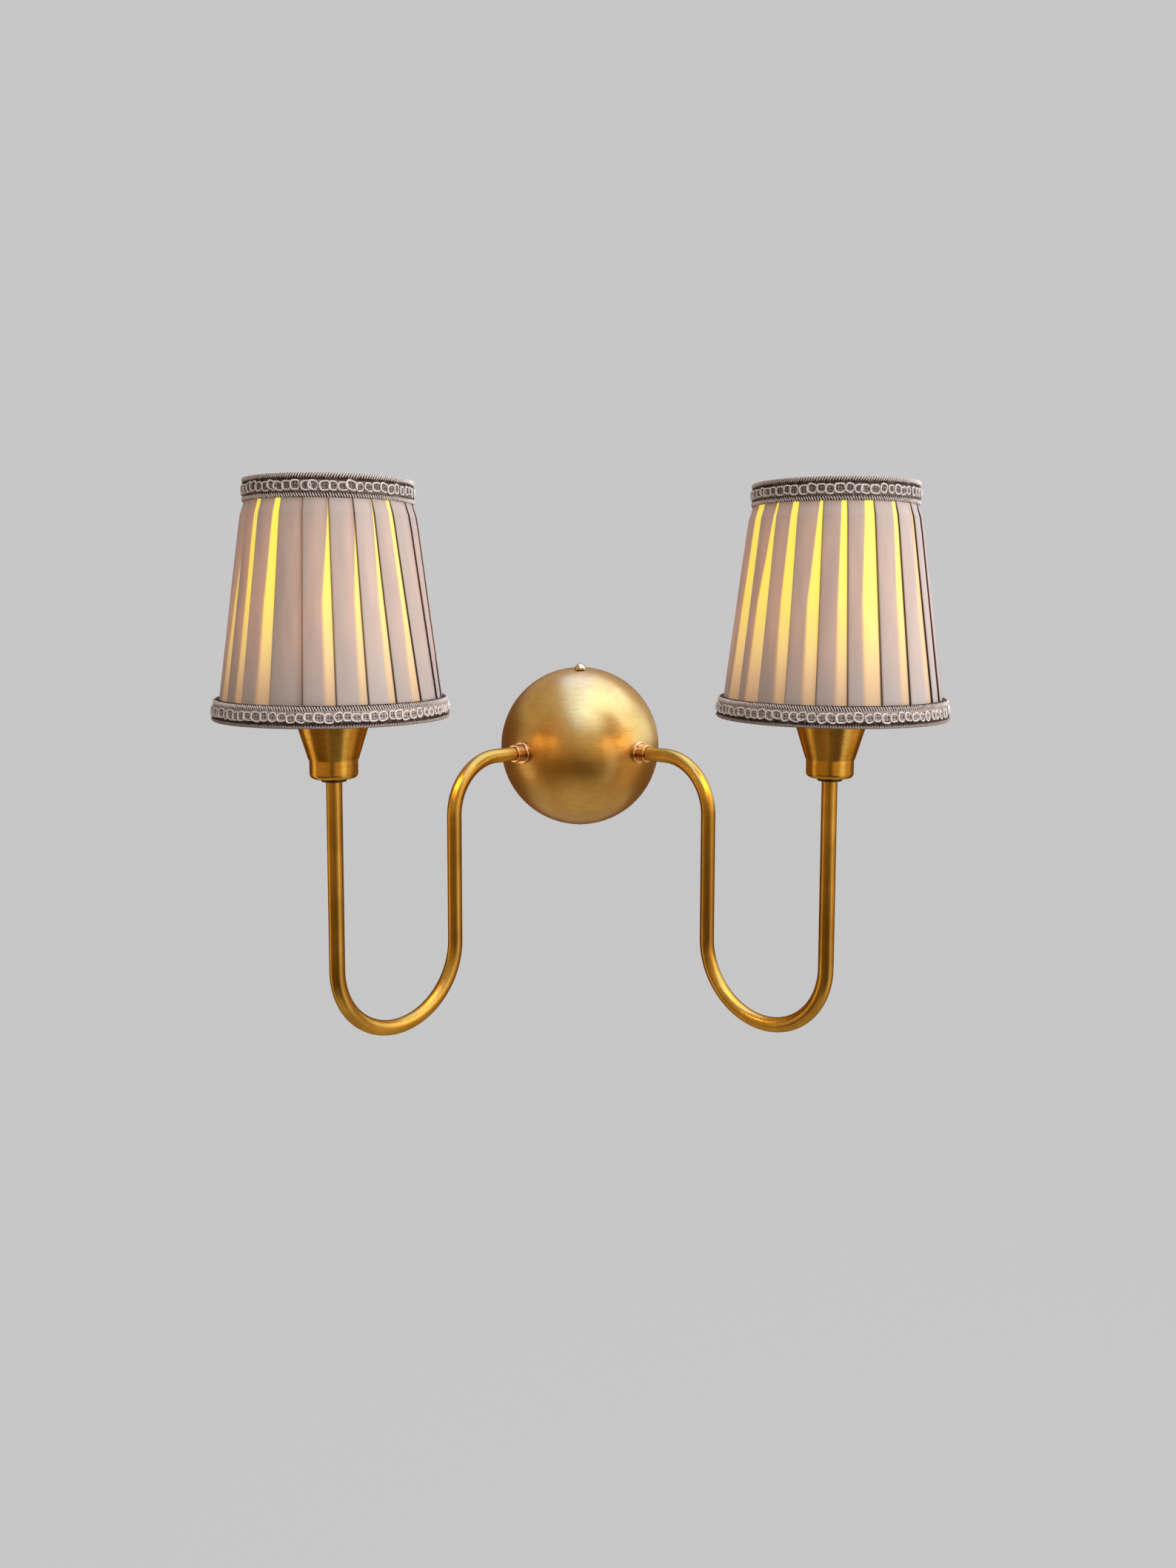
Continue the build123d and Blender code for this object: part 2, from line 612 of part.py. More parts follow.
def cup(side):
    with BuildPart() as bowl:
        with BuildSketch(lamp_plane(side)):
            with BuildLine():
                Line((TUBE_RADIUS + FIT, CUP_BASE), (CUP_RADIUS - CUP_EDGE, CUP_BASE))
                CenterArc((CUP_RADIUS - CUP_EDGE, CUP_BASE + CUP_EDGE), CUP_EDGE, -90, 90)
                Polyline(
                    (CUP_RADIUS, CUP_BASE + CUP_EDGE),
                    (CUP_RADIUS, cup_top),
                    (CUP_RADIUS - CUP_WALL, cup_top),
                    (CUP_RADIUS - CUP_WALL, CUP_BASE + CUP_EDGE),
                )
                CenterArc((CUP_RADIUS - CUP_EDGE, CUP_BASE + CUP_EDGE), CUP_EDGE - CUP_WALL, -90, 90)
                Polyline(
                    (CUP_RADIUS - CUP_EDGE, cup_floor),
                    (TUBE_RADIUS + FIT, cup_floor),
                    (TUBE_RADIUS + FIT, CUP_BASE),
                )
            make_face()
        revolve(axis=lamp_axis(side))
    return bowl


def cone(side):
    """A flared sleeve whose floor is clamped between the cup's rim and the lampholder's shoulder."""
    inside = CONE_WALL * 1.05
    return turned(
        side,
        [
            (NECK_RADIUS + FIT, cup_top),
            (CONE_FOOT_RADIUS, cup_top),
            (CONE_MOUTH_RADIUS, cone_top),
            (CONE_MOUTH_RADIUS - inside, cone_top),
            (CONE_FOOT_RADIUS - inside, cone_floor),
            (NECK_RADIUS + FIT, cone_floor),
        ],
    )


def lampholder(side):
    bore = TUBE_RADIUS + FIT
    chamber_floor = tube_top + FIT
    cavity = SHELL_RADIUS + FIT
    body = turned(
        side,
        [
            (bore, cup_floor + NECK_GAP),
            (NECK_RADIUS, cup_floor + NECK_GAP),
            (NECK_RADIUS, cone_floor),
            (HOLDER_RADIUS, cone_floor),
            (HOLDER_RADIUS, SHADE_SEAT - SHADE_SEAT_THICKNESS),
            (SHADE_SEAT_RADIUS, SHADE_SEAT - SHADE_SEAT_THICKNESS),
            (SHADE_SEAT_RADIUS, SHADE_SEAT),
            (HOLDER_THREAD_RADIUS, SHADE_SEAT),
            (HOLDER_THREAD_RADIUS, HOLDER_TOP),
            (MOUTH_RADIUS, HOLDER_TOP),
            (MOUTH_RADIUS, HOLDER_TOP - MOUTH_DEPTH),
            (cavity, HOLDER_TOP - MOUTH_DEPTH),
            (cavity, shell_floor),
            (CONTACT_PIN_RADIUS + FIT, shell_floor),
            (CONTACT_PIN_RADIUS + FIT, CONTACT_FLOOR),
            (WIRE_CHAMBER_RADIUS, CONTACT_FLOOR),
            (WIRE_CHAMBER_RADIUS, chamber_floor),
            (bore, chamber_floor),
        ],
    )
    with BuildPart() as holder:
        add(body.part)
        with BuildSketch(lamp_level(side, CONTACT_FLOOR)):
            with Locations((0, -SHELL_RADIUS + SHELL_TAB_THICKNESS / 2)):
                Rectangle(SHELL_TAB_WIDTH + 2 * FIT, SHELL_TAB_THICKNESS + 2 * FIT)
        extrude(amount=CONTACT_FLOOR_THICKNESS, mode=Mode.SUBTRACT)
    return holder


def contact_post(side, across, outside):
    """One of the two posts that a wire is clamped to, under the contact floor."""
    width = outside - TERMINAL_POST_INSIDE[across]
    foot = lamp_level(side, TERMINAL_POST_BOTTOM).location
    with Locations(foot * Pos(0, across * (outside - width / 2), 0)):
        Box(
            2 * TERMINAL_POST_HALF_DEPTH,
            width,
            CONTACT_FLOOR - TERMINAL_POST_BOTTOM,
            align=(Align.CENTER, Align.CENTER, Align.MIN),
        )


def socket_shell(side):
    """The screw shell, its tab through the contact floor and the neutral post."""
    with BuildPart() as shell:
        with BuildSketch(lamp_level(side, shell_floor)):
            Circle(SHELL_RADIUS)
            Circle(SHELL_RADIUS - SHELL_WALL, mode=Mode.SUBTRACT)
        extrude(amount=SHELL_HEIGHT)
        with BuildSketch(lamp_level(side, CONTACT_FLOOR)):
            with Locations((0, -SHELL_RADIUS + SHELL_TAB_THICKNESS / 2)):
                Rectangle(SHELL_TAB_WIDTH, SHELL_TAB_THICKNESS)
        extrude(amount=CONTACT_FLOOR_THICKNESS)
        contact_post(side, -1, SHELL_RADIUS)
    return shell


def centre_contact(side):
    with BuildPart() as contact:
        contact_post(side, 1, TERMINAL_POST_OUTSIDE)
        with BuildSketch(lamp_level(side, CONTACT_FLOOR - CONTACT_PIN_RADIUS)):
            Circle(CONTACT_PIN_RADIUS)
        extrude(amount=contact_top - CONTACT_FLOOR + CONTACT_PIN_RADIUS)
    return contact


def holder_screws(side):
    """The two wire clamp screws, one in each post's outer face."""
    middle = lamp_level(side, (TERMINAL_POST_BOTTOM + CONTACT_FLOOR) / 2)
    with BuildPart() as screws:
        for across in (-1, 1):
            aside = across * (TERMINAL_POST_INSIDE[across] + TERMINAL_POST_OUTSIDE) / 2
            place = middle.from_local_coords((TERMINAL_POST_HALF_DEPTH, aside))
            with BuildSketch(Plane(origin=place, z_dir=outward(side))):
                Circle(HOLDER_SCREW_RADIUS)
            extrude(amount=HOLDER_SCREW_LENGTH)
    return screws


def shade_ring(side):
    """The threaded ring that holds the shade down, with finger notches round its rim."""
    with BuildPart() as ring:
        with BuildSketch(lamp_level(side, ring_nut_bottom)):
            Circle(RING_NUT_RADIUS)
            Circle(RING_NUT_BORE_RADIUS, mode=Mode.SUBTRACT)
            with PolarLocations(RING_NUT_RADIUS, RING_NUT_NOTCHES):
                Circle(RING_NUT_NOTCH_RADIUS, mode=Mode.SUBTRACT)
        extrude(amount=RING_NUT_HEIGHT)
    return ring


# ==== Bulb ============


def bulb_cap(side):
    """The ridged screw cap, a thin open shell."""
    pitch = CAP_HEIGHT / (CAP_RIDGES + 1)
    start = cap_bottom + pitch / 2
    with BuildPart() as cap:
        with BuildSketch(lamp_plane(side)):
            with BuildLine():
                Line((CAP_ROOT_RADIUS, cap_bottom), (CAP_ROOT_RADIUS, start))
                for ridge in range(CAP_RIDGES):
                    foot = start + ridge * pitch
                    crest = (CAP_RADIUS, foot + pitch / 2)
                    ThreePointArc((CAP_ROOT_RADIUS, foot), crest, (CAP_ROOT_RADIUS, foot + pitch))
                Polyline(
                    (CAP_ROOT_RADIUS, start + CAP_RIDGES * pitch),
                    (CAP_ROOT_RADIUS, cap_top),
                    (CAP_ROOT_RADIUS - CAP_WALL, cap_top),
                    (CAP_ROOT_RADIUS - CAP_WALL, cap_bottom),
                    (CAP_ROOT_RADIUS, cap_bottom),
                )
            make_face()
        revolve(axis=lamp_axis(side))
    return cap


def bulb_contact(side):
    """The black insulator that closes the cap, with the tip contact under it."""
    insulator_bottom = bulb_tip + TIP_HEIGHT
    plug_radius = CAP_ROOT_RADIUS - CAP_WALL - FIT
    return turned(
        side,
        [
            (0, bulb_tip),
            (TIP_RADIUS * 0.6, bulb_tip),
            (TIP_RADIUS, bulb_tip + TIP_HEIGHT / 2),
            (TIP_RADIUS, insulator_bottom),
            (CAP_ROOT_RADIUS, cap_bottom),
            (plug_radius, cap_bottom),
            (plug_radius, cap_bottom + INSULATOR_HEIGHT / 2),
            (0, cap_bottom + INSULATOR_HEIGHT / 2),
        ],
    )


def bulb_housing(side):
    """The plastic neck that widens from the cap to the light dome."""
    wall = BULB_HOUSING_WALL
    middle = cap_top + BULB_HOUSING_HEIGHT * HOUSING_FLARE[1]
    middle_radius = BULB_NECK_RADIUS + (BULB_RADIUS - BULB_NECK_RADIUS) * HOUSING_FLARE[0]
    with BuildPart() as housing:
        with BuildSketch(lamp_plane(side)):
            with BuildLine():
                Line((CAP_ROOT_RADIUS - CAP_WALL, cap_top), (BULB_NECK_RADIUS, cap_top))
                ThreePointArc(
                    (BULB_NECK_RADIUS, cap_top),
                    (middle_radius, middle),
                    (BULB_RADIUS, housing_top),
                )
                Line((BULB_RADIUS, housing_top), (BULB_RADIUS - wall, housing_top))
                ThreePointArc(
                    (BULB_RADIUS - wall, housing_top),
                    (middle_radius - wall, middle),
                    (CAP_ROOT_RADIUS - CAP_WALL, cap_top + wall),
                )
                Line((CAP_ROOT_RADIUS - CAP_WALL, cap_top + wall), (CAP_ROOT_RADIUS - CAP_WALL, cap_top))
            make_face()
        revolve(axis=lamp_axis(side))
    return housing


def bulb_board(side):
    """The disc that carries the light chips, seated in the housing's mouth."""
    radius = BULB_RADIUS - BULB_HOUSING_WALL - BULB_BOARD_THICKNESS / 2
    with BuildPart() as board:
        with BuildSketch(lamp_level(side, housing_top - BULB_BOARD_THICKNESS)):
            Circle(radius)
        extrude(amount=BULB_BOARD_THICKNESS)
        with BuildSketch(lamp_level(side, housing_top)):
            with PolarLocations(radius * 0.6, CHIPS):
                Rectangle(CHIP_SIZE, CHIP_SIZE)
        extrude(amount=CHIP_HEIGHT)
    return board


def flame(inset):
    """Half of a flame outline, from its foot to its tip, drawn in by a wall."""
    foot = (BULB_RADIUS - inset, housing_top)
    belly = (BULB_RADIUS * FLAME_BELLY[0] - inset, housing_top + BULB_GLASS_HEIGHT * FLAME_BELLY[1])
    neck = (BULB_RADIUS * FLAME_NECK[0] - inset, housing_top + BULB_GLASS_HEIGHT * FLAME_NECK[1])
    Spline(foot, belly, neck, (0, bulb_top - inset), tangents=((0, 1), (-1, 0)), tangent_scalars=(1.0, 0.5))


def bulb_glass(side):
    """The flame-shaped light dome, a thin shell open at its foot."""
    with BuildPart() as glass:
        with BuildSketch(lamp_plane(side)):
            with BuildLine():
                flame(0)
                flame(BULB_GLASS_WALL)
                Line((BULB_RADIUS, housing_top), (BULB_RADIUS - BULB_GLASS_WALL, housing_top))
                Line((0, bulb_top - BULB_GLASS_WALL), (0, bulb_top))
            make_face()
        revolve(axis=lamp_axis(side))
    return glass


# ==== Shade ============


def cloth_sections():
    """Level, outer radius and fold height of the pleated cloth, from its bottom edge to its top edge."""
    return [
        (cloth_bottom, HEM_RADIUS, HEM_FOLD),
        (SHADE_BOTTOM + BOTTOM_BRAID_HEIGHT, SKIRT_RADIUS, HEM_FOLD),
        (shade_top - SHOULDER_DROP, SHOULDER_CLOTH_RADIUS, SHOULDER_FOLD),
        (shade_top - TOP_BRAID_HEIGHT, WAIST_RADIUS, CROWN_FOLD),
        (cloth_top, CROWN_RADIUS, CROWN_FOLD),
    ]


def pleat_points(radius, fold):
    """The corners of a ring of knife pleats: for each, its outer start, its middle and its inner end."""
    pitch = math.tau / PLEATS
    turn = pitch * (1 - FOLD_STEP)
    places = []
    for i in range(PLEATS):
        corners = ((radius, 0), (radius - fold / 2, turn / 2), (radius - fold, turn))
        places.append([(r * math.cos(i * pitch + a), r * math.sin(i * pitch + a)) for r, a in corners])
    return places


def shade_cover(side):
    """The pleated cloth, lofted through its five rings, hollow down to the lining."""
    with BuildPart() as cloth:
        for level, radius, fold in cloth_sections():
            pleats = pleat_points(radius, fold)
            with BuildSketch(lamp_level(side, level, turn_to(side, FOLD_ANGLES[side]))):
                with BuildLine():
                    for i, (start, middle, end) in enumerate(pleats):
                        ThreePointArc(start, middle, end)
                        Line(end, pleats[(i + 1) % PLEATS][0])
                make_face()
        loft(ruled=True)
        with BuildSketch(lamp_plane(side)):
            with BuildLine():
                Polyline(
                    (0, SHADE_BOTTOM),
                    (lining_radius(SHADE_BOTTOM), SHADE_BOTTOM),
                    (lining_radius(shade_top), shade_top),
                    (0, shade_top),
                    close=True,
                )
            make_face()
        revolve(axis=lamp_axis(side), mode=Mode.SUBTRACT)
    return cloth


def shade_lining(side):
    outer = LAYER_GAP
    inner = LAYER_GAP + LINING_THICKNESS
    return turned(
        side,
        [
            (lining_radius(cloth_bottom, outer), cloth_bottom),
            (lining_radius(cloth_top, outer), cloth_top),
            (lining_radius(cloth_top, inner), cloth_top),
            (lining_radius(cloth_bottom, inner), cloth_bottom),
        ],
    )


def frame_inset():
    """From the lining's face to the centre of the frame's ring wires."""
    return 2 * LAYER_GAP + LINING_THICKNESS + FRAME_WIRE_RADIUS


def ring_wires(side):
    """Radius and level of the bottom and top ring wires."""
    low = cloth_bottom + FRAME_WIRE_RADIUS + LAYER_GAP
    high = cloth_top - FRAME_WIRE_RADIUS - LAYER_GAP
    return [(lining_radius(low, frame_inset()), low), (lining_radius(high, frame_inset()), high)]


def add_ring_wires(side, mode=Mode.ADD):
    for radius, level in ring_wires(side):
        with Locations(lamp_level(side, level)):
            Torus(radius, FRAME_WIRE_RADIUS, mode=mode)


def shade_frame(side):
    """Top and bottom ring wires with straight ribs between them, coped to the rings."""
    (low_radius, low), (high_radius, high) = ring_wires(side)
    with BuildPart() as frame:
        for i in range(RIBS):
            plane = lamp_plane(side, turn_to(side, SPOKE_ANGLE + i * 360 / RIBS))
            foot = plane.from_local_coords((low_radius + FRAME_WIRE_RADIUS - RIB_RADIUS, low))
            head = plane.from_local_coords((high_radius + FRAME_WIRE_RADIUS - RIB_RADIUS, high))
            with Locations(Plane(origin=foot, z_dir=head - foot)):
                Cylinder(RIB_RADIUS, (head - foot).length, align=(Align.CENTER, Align.CENTER, Align.MIN))
        add_ring_wires(side)
    return frame


def shade_fitter(side):
    """The flat ring that sits on the lampholder, and the spokes welded under it, out to the ring wire."""
    spoke_level = fitter_bottom - SPOKE_RADIUS + SPOKE_SINK
    ring_radius, ring_level = ring_wires(side)[0]
    with BuildPart() as fitter:
        with BuildSketch(lamp_level(side, fitter_bottom)):
            Circle(FITTER_RADIUS)
            Circle(FITTER_BORE_RADIUS, mode=Mode.SUBTRACT)
        extrude(amount=FITTER_THICKNESS)
        for i in range(SPOKES):
            plane = lamp_plane(side, turn_to(side, SPOKE_ANGLE + i * 360 / SPOKES))
            start = plane.from_local_coords((SPOKE_START, spoke_level))
            end = plane.from_local_coords((ring_radius, ring_level))
            with Locations(Plane(origin=start, z_dir=end - start)):
                Cylinder(SPOKE_RADIUS, (end - start).length, align=(Align.CENTER, Align.CENTER, Align.MIN))
        add_ring_wires(side, mode=Mode.SUBTRACT)
    return fitter


def binding(side, bottom, top, outside):
    """A folded tape over the edge of the cloth, lining and ring wire."""
    inside = min(lining_radius(bottom), lining_radius(top)) - BINDING_INSET
    with BuildPart() as tape:
        with BuildSketch(lamp_level(side, bottom)):
            Circle(outside)
            Circle(inside, mode=Mode.SUBTRACT)
        extrude(amount=top - bottom)
        fillet(tape.edges().filter_by(GeomType.CIRCLE), BINDING_THICKNESS * 0.3)
    return tape


def top_binding(side):
    return binding(side, cloth_top, shade_top, top_braid_radius - BRAID_EDGE)


def bottom_binding(side):
    return binding(side, SHADE_BOTTOM, cloth_bottom, bottom_braid_radius - BRAID_EDGE)


def braid(side, foot, head, inner, outer):
    """A band of gimp braid: foot and head are levels, inner and outer the radii at each of them."""
    return turned(
        side,
        [
            (inner[0] + LAYER_GAP, foot),
            (outer[0] - BRAID_EDGE, foot),
            (outer[0], foot + BRAID_EDGE_HEIGHT),
            (outer[1], head - BRAID_EDGE_HEIGHT),
            (outer[1] - BRAID_EDGE, head),
            (inner[1] + LAYER_GAP, head),
        ],
    )


def top_braid(side):
    outer = (top_braid_radius, top_braid_radius)
    return braid(side, shade_top - TOP_BRAID_HEIGHT, cloth_top, (WAIST_RADIUS, CROWN_RADIUS), outer)


def bottom_braid(side):
    """The hem's band leans out with the cloth."""
    outer = (bottom_braid_radius, SKIRT_RADIUS + BOTTOM_BRAID_DEPTH)
    return braid(side, cloth_bottom, SHADE_BOTTOM + BOTTOM_BRAID_HEIGHT, (HEM_RADIUS, SKIRT_RADIUS), outer)


# ==== Build every piece ============

save(wall_bracket(), "wall_bracket")
save(canopy(), "canopy")
save(canopy_screw(), "canopy_screw")
save(canopy_stud(), "canopy_stud")
save(terminal_block(), "terminal_block")
save(terminal_poles(), "terminal_poles")
save(earth_screw(), "earth_screw")
save(earth_lead(), "earth_lead")

LAMP_PIECES = {
    "collar": collar,
    "collar_washer": collar_washer,
    "collar_nut": collar_nut,
    "arm": arm,
    "arm_wires": arm_wires,
    "seat_nut": seat_nut,
    "cup": cup,
    "cone": cone,
    "lampholder": lampholder,
    "socket_shell": socket_shell,
    "centre_contact": centre_contact,
    "holder_screws": holder_screws,
    "shade_ring": shade_ring,
    "bulb_cap": bulb_cap,
    "bulb_contact": bulb_contact,
    "bulb_housing": bulb_housing,
    "bulb_board": bulb_board,
    "bulb_glass": bulb_glass,
    "shade_fitter": shade_fitter,
    "shade_frame": shade_frame,
    "shade_lining": shade_lining,
    "shade_cover": shade_cover,
    "top_braid": top_braid,
    "bottom_braid": bottom_braid,
    "top_binding": top_binding,
    "bottom_binding": bottom_binding,
}

for side, word in ((-1, "left"), (1, "right")):
    for name, make in LAMP_PIECES.items():
        save(make(side), f"{word}_{name}")
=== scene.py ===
"""Double arm wall sconce: the looks of its brass, its lit bulbs and its two pleated shades, in a plain studio."""

import math
import random

import bpy
from mathutils import Matrix, Vector


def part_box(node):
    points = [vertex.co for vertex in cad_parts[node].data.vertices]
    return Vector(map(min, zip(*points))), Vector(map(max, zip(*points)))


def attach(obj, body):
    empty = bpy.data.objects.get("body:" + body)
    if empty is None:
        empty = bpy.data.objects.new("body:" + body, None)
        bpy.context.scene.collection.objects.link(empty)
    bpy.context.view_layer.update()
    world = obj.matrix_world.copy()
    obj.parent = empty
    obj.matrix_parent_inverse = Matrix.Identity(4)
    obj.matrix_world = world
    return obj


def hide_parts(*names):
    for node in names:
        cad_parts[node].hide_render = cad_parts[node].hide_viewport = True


bl_info = {
    "name": "Double arm wall sconce",
    "version": (1, 0, 0),
    "blender": (4, 5, 0),
    "location": "3D View > Sidebar > Sconce",
    "description": "Dresses a brass wall sconce with two knife-pleated shades, and sets up its studio",
    "category": "Object",
}

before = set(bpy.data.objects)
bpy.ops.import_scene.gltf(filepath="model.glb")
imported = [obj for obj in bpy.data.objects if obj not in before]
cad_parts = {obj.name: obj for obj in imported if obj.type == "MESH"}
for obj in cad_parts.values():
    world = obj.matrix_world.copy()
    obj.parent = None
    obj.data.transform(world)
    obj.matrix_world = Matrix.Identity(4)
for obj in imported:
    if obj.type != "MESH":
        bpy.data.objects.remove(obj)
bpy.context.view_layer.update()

SIDES = ("left", "right")
MM = 0.001

# The pleats that show in the middle of each lit shade, by their number from the shade's first fold. Each has the
# width of its light patch at the head, the middle and the foot, as a share of the pleat, the height where the patch
# starts, as a share of the cloth's height, and its brightness.
LIT_PLEATS = {
    "left": {
        -6: (0.00, 0.20, 0.45, 0.62, 0.55),
        -5: (0.00, 0.30, 0.55, 0.80, 0.75),
        -4: (0.30, 0.36, 0.42, 1.05, 0.85),
        -3: (0.24, 0.40, 0.46, 1.05, 1.00),
        -2: (0.00, 0.05, 0.00, 0.75, 0.25),
        -1: (0.00, 0.35, 0.33, 0.93, 0.95),
        0: (0.00, 0.24, 0.30, 0.84, 0.90),
        1: (0.00, 0.27, 0.30, 1.00, 0.85),
        2: (0.25, 0.28, 0.46, 1.05, 0.80),
        3: (0.00, 0.04, 0.05, 0.55, 0.20),
        4: (0.00, 0.10, 0.10, 0.50, 0.15),
    },
    "right": {
        -6: (0.00, 0.20, 0.25, 0.90, 0.60),
        -5: (0.45, 0.55, 0.70, 1.05, 0.85),
        -4: (0.05, 0.55, 0.62, 1.02, 0.90),
        -3: (0.26, 0.44, 0.36, 1.05, 0.95),
        -2: (0.10, 0.44, 0.42, 1.03, 1.00),
        -1: (0.24, 0.37, 0.39, 1.05, 1.00),
        0: (0.34, 0.56, 0.52, 1.05, 1.00),
        1: (0.20, 0.33, 0.34, 1.05, 0.85),
        2: (0.04, 0.36, 0.30, 0.96, 0.60),
        3: (0.00, 0.08, 0.05, 0.50, 0.25),
    },
}
# How far some folds stray from an even spacing, in degrees at the head and at the foot of the cloth.
STRAY_FOLDS = {
    "left": {-3: (-1.0, -1.1), -2: (0.0, 0.8), -1: (-1.1, 2.0), 0: (-1.0, 1.9), 1: (-1.7, 1.4), 2: (-5.0, 0.6),
             3: (-6.5, 1.9), 4: (-4.0, 4.0)},
    "right": {-4: (2.0, 1.6), -3: (0.6, 1.2), -2: (0.6, 1.2), -1: (1.0, 0.8), 0: (0.0, 0.0), 1: (1.6, 1.2),
              2: (3.2, 2.0), 3: (3.4, 5.0)},
}
FIRST_FOLD = {"left": -78.8, "right": -94.7}  # degrees in plan
# Cards stood round the lamp for its polished brass: each has its start and end in degrees from the front, its low and
# high edge in metres, and its tone.
SURROUND = (
    ("left_strip", -102, -82, -1.0, -0.02, (1.40, 1.25, 1.20)),
    ("left_card_upper", -82, -12, -0.28, -0.02, (0.64, 0.46, 0.24)),
    ("left_card_lower", -82, -12, -1.35, -0.28, (0.17, 0.10, 0.03)),
    ("front_strip", -12, 6, -1.35, -0.02, (0.07, 0.04, 0.01)),
    ("right_card_upper", 6, 42, -0.28, -0.02, (0.85, 0.68, 0.42)),
    ("right_card_lower", 6, 44, -1.35, -0.28, (0.06, 0.035, 0.01)),
    ("right_strip_upper", 42, 66, -0.28, -0.02, (1.35, 1.50, 2.00)),
    ("right_strip_lower", 44, 66, -1.35, -0.28, (1.00, 1.15, 1.70)),
    ("right_side_card", 66, 102, -1.35, -0.02, (0.70, 0.54, 0.36)),
    ("back_left_card", -160, -102, -1.2, 0.5, (0.18, 0.11, 0.06)),
    ("back_card", 160, 200, -1.2, 0.5, (0.18, 0.11, 0.06)),
    ("back_right_card", 102, 160, -1.2, -0.10, (0.18, 0.11, 0.06)),
)
# Flat cards above and beside it: each has its size, its place, what it faces and its tone.
FLAT_CARDS = (
    ("window_card", (0.65, 3.1), (-0.055, -0.45, 1.33), (-0.055, -0.45, 0), (1.60, 2.80, 8.5)),
    ("sky_card", (2.3, 3.1), (1.42, -0.45, 1.33), (1.42, -0.45, 0), (1.90, 2.80, 6.0)),
    ("right_card", (1.5, 1.3), (1.6, 0.50, 0.62), (0, 0.50, 0.62), (1.30, 1.85, 3.2)),
)


# ---- Sizes and colours ----


def length(name, description, default):
    return bpy.props.FloatProperty(name=name, description=description, default=default, unit="LENGTH", precision=5)


def colour(name, description, default):
    return bpy.props.FloatVectorProperty(
        name=name, description=description, default=default, size=3, subtype="COLOR", min=0, max=1
    )


def amount(name, description, default):
    return bpy.props.FloatProperty(name=name, description=description, default=default, min=0)


class ShadeSizes(bpy.types.PropertyGroup):
    pleats: bpy.props.IntProperty(name="Pleats", description="Knife pleats round one shade", default=22, min=8)
    fold: length("Fold", "How far a pleat's folded edge stands over the next one", 1.5 * MM)
    shoulder_fold: length("Shoulder fold", "The same at the shade's shoulder", 1.2 * MM)
    crown_fold: length("Crown fold", "The same under the top braid", 0.6 * MM)
    skirt_radius: length("Skirt radius", "Pleats above the bottom braid", 68.0 * MM)
    shoulder_radius: length("Shoulder radius", "Pleats where they turn in to the top braid", 53.7 * MM)
    waist_radius: length("Waist radius", "Pleats under the top braid", 50.9 * MM)
    shoulder_drop: length("Shoulder drop", "From the top edge to the shoulder", 22.0 * MM)
    cord: length("Cord", "Thickness of the braid's looped cord", 1.0 * MM)
    loop: length("Loop", "Height of one loop of the braid's cord", 6.3 * MM)
    loop_pitch: length("Loop pitch", "From one loop to the next", 5.35 * MM)
    stitch_pitch: length("Stitch pitch", "From one slanted edge stitch to the next", 1.60 * MM)
    stitch: length("Stitch", "Length of an edge stitch", 3.0 * MM)


class ShadeColours(bpy.types.PropertyGroup):
    cloth: colour("Cloth", "The satin of the pleats", (0.60, 0.54, 0.50))
    soaked: colour("Soaked light", "Light that soaks through several layers of cloth", (0.250, 0.100, 0.045))
    light_head: colour("Light, head", "Light through one layer of cloth, high up", (0.86, 0.70, 0.05))
    light_foot: colour("Light, foot", "Light through one layer of cloth, near the hem", (0.62, 0.37, 0.17))
    band: colour("Braid", "The woven band of the braid", (0.050, 0.028, 0.022))
    thread: colour("Thread", "The paler threads of the band", (0.52, 0.43, 0.38))
    cord: colour("Cord", "The looped cord of the braid", (1.00, 0.97, 0.94))
    lining: colour("Lining", "The lining behind the pleats", (0.86, 0.72, 0.48))


class MetalColours(bpy.types.PropertyGroup):
    brass: colour("Brass", "Brushed antique brass", (0.660, 0.345, 0.045))
    brown: colour("Brown brass", "The darker patina on it", (0.540, 0.250, 0.022))
    polished: colour("Polished brass", "Collars and canopy screw", (0.80, 0.45, 0.17))
    dark: colour("Dark brass", "The nut under each cup", (0.060, 0.035, 0.015))
    steel: colour("Steel", "Bracket, washers and small screws", (0.56, 0.56, 0.56))


class StudioSettings(bpy.types.PropertyGroup):
    backdrop: amount("Backdrop", "Grey of the background", 0.571)
    fill: amount("Fill", "Strength of the light from all round", 0.30)
    key: amount("Key", "Power of the main lamp, in watts", 40.0)
    side: amount("Side", "Power of the side lamp, in watts", 16.5)


# ---- Shader helpers ----


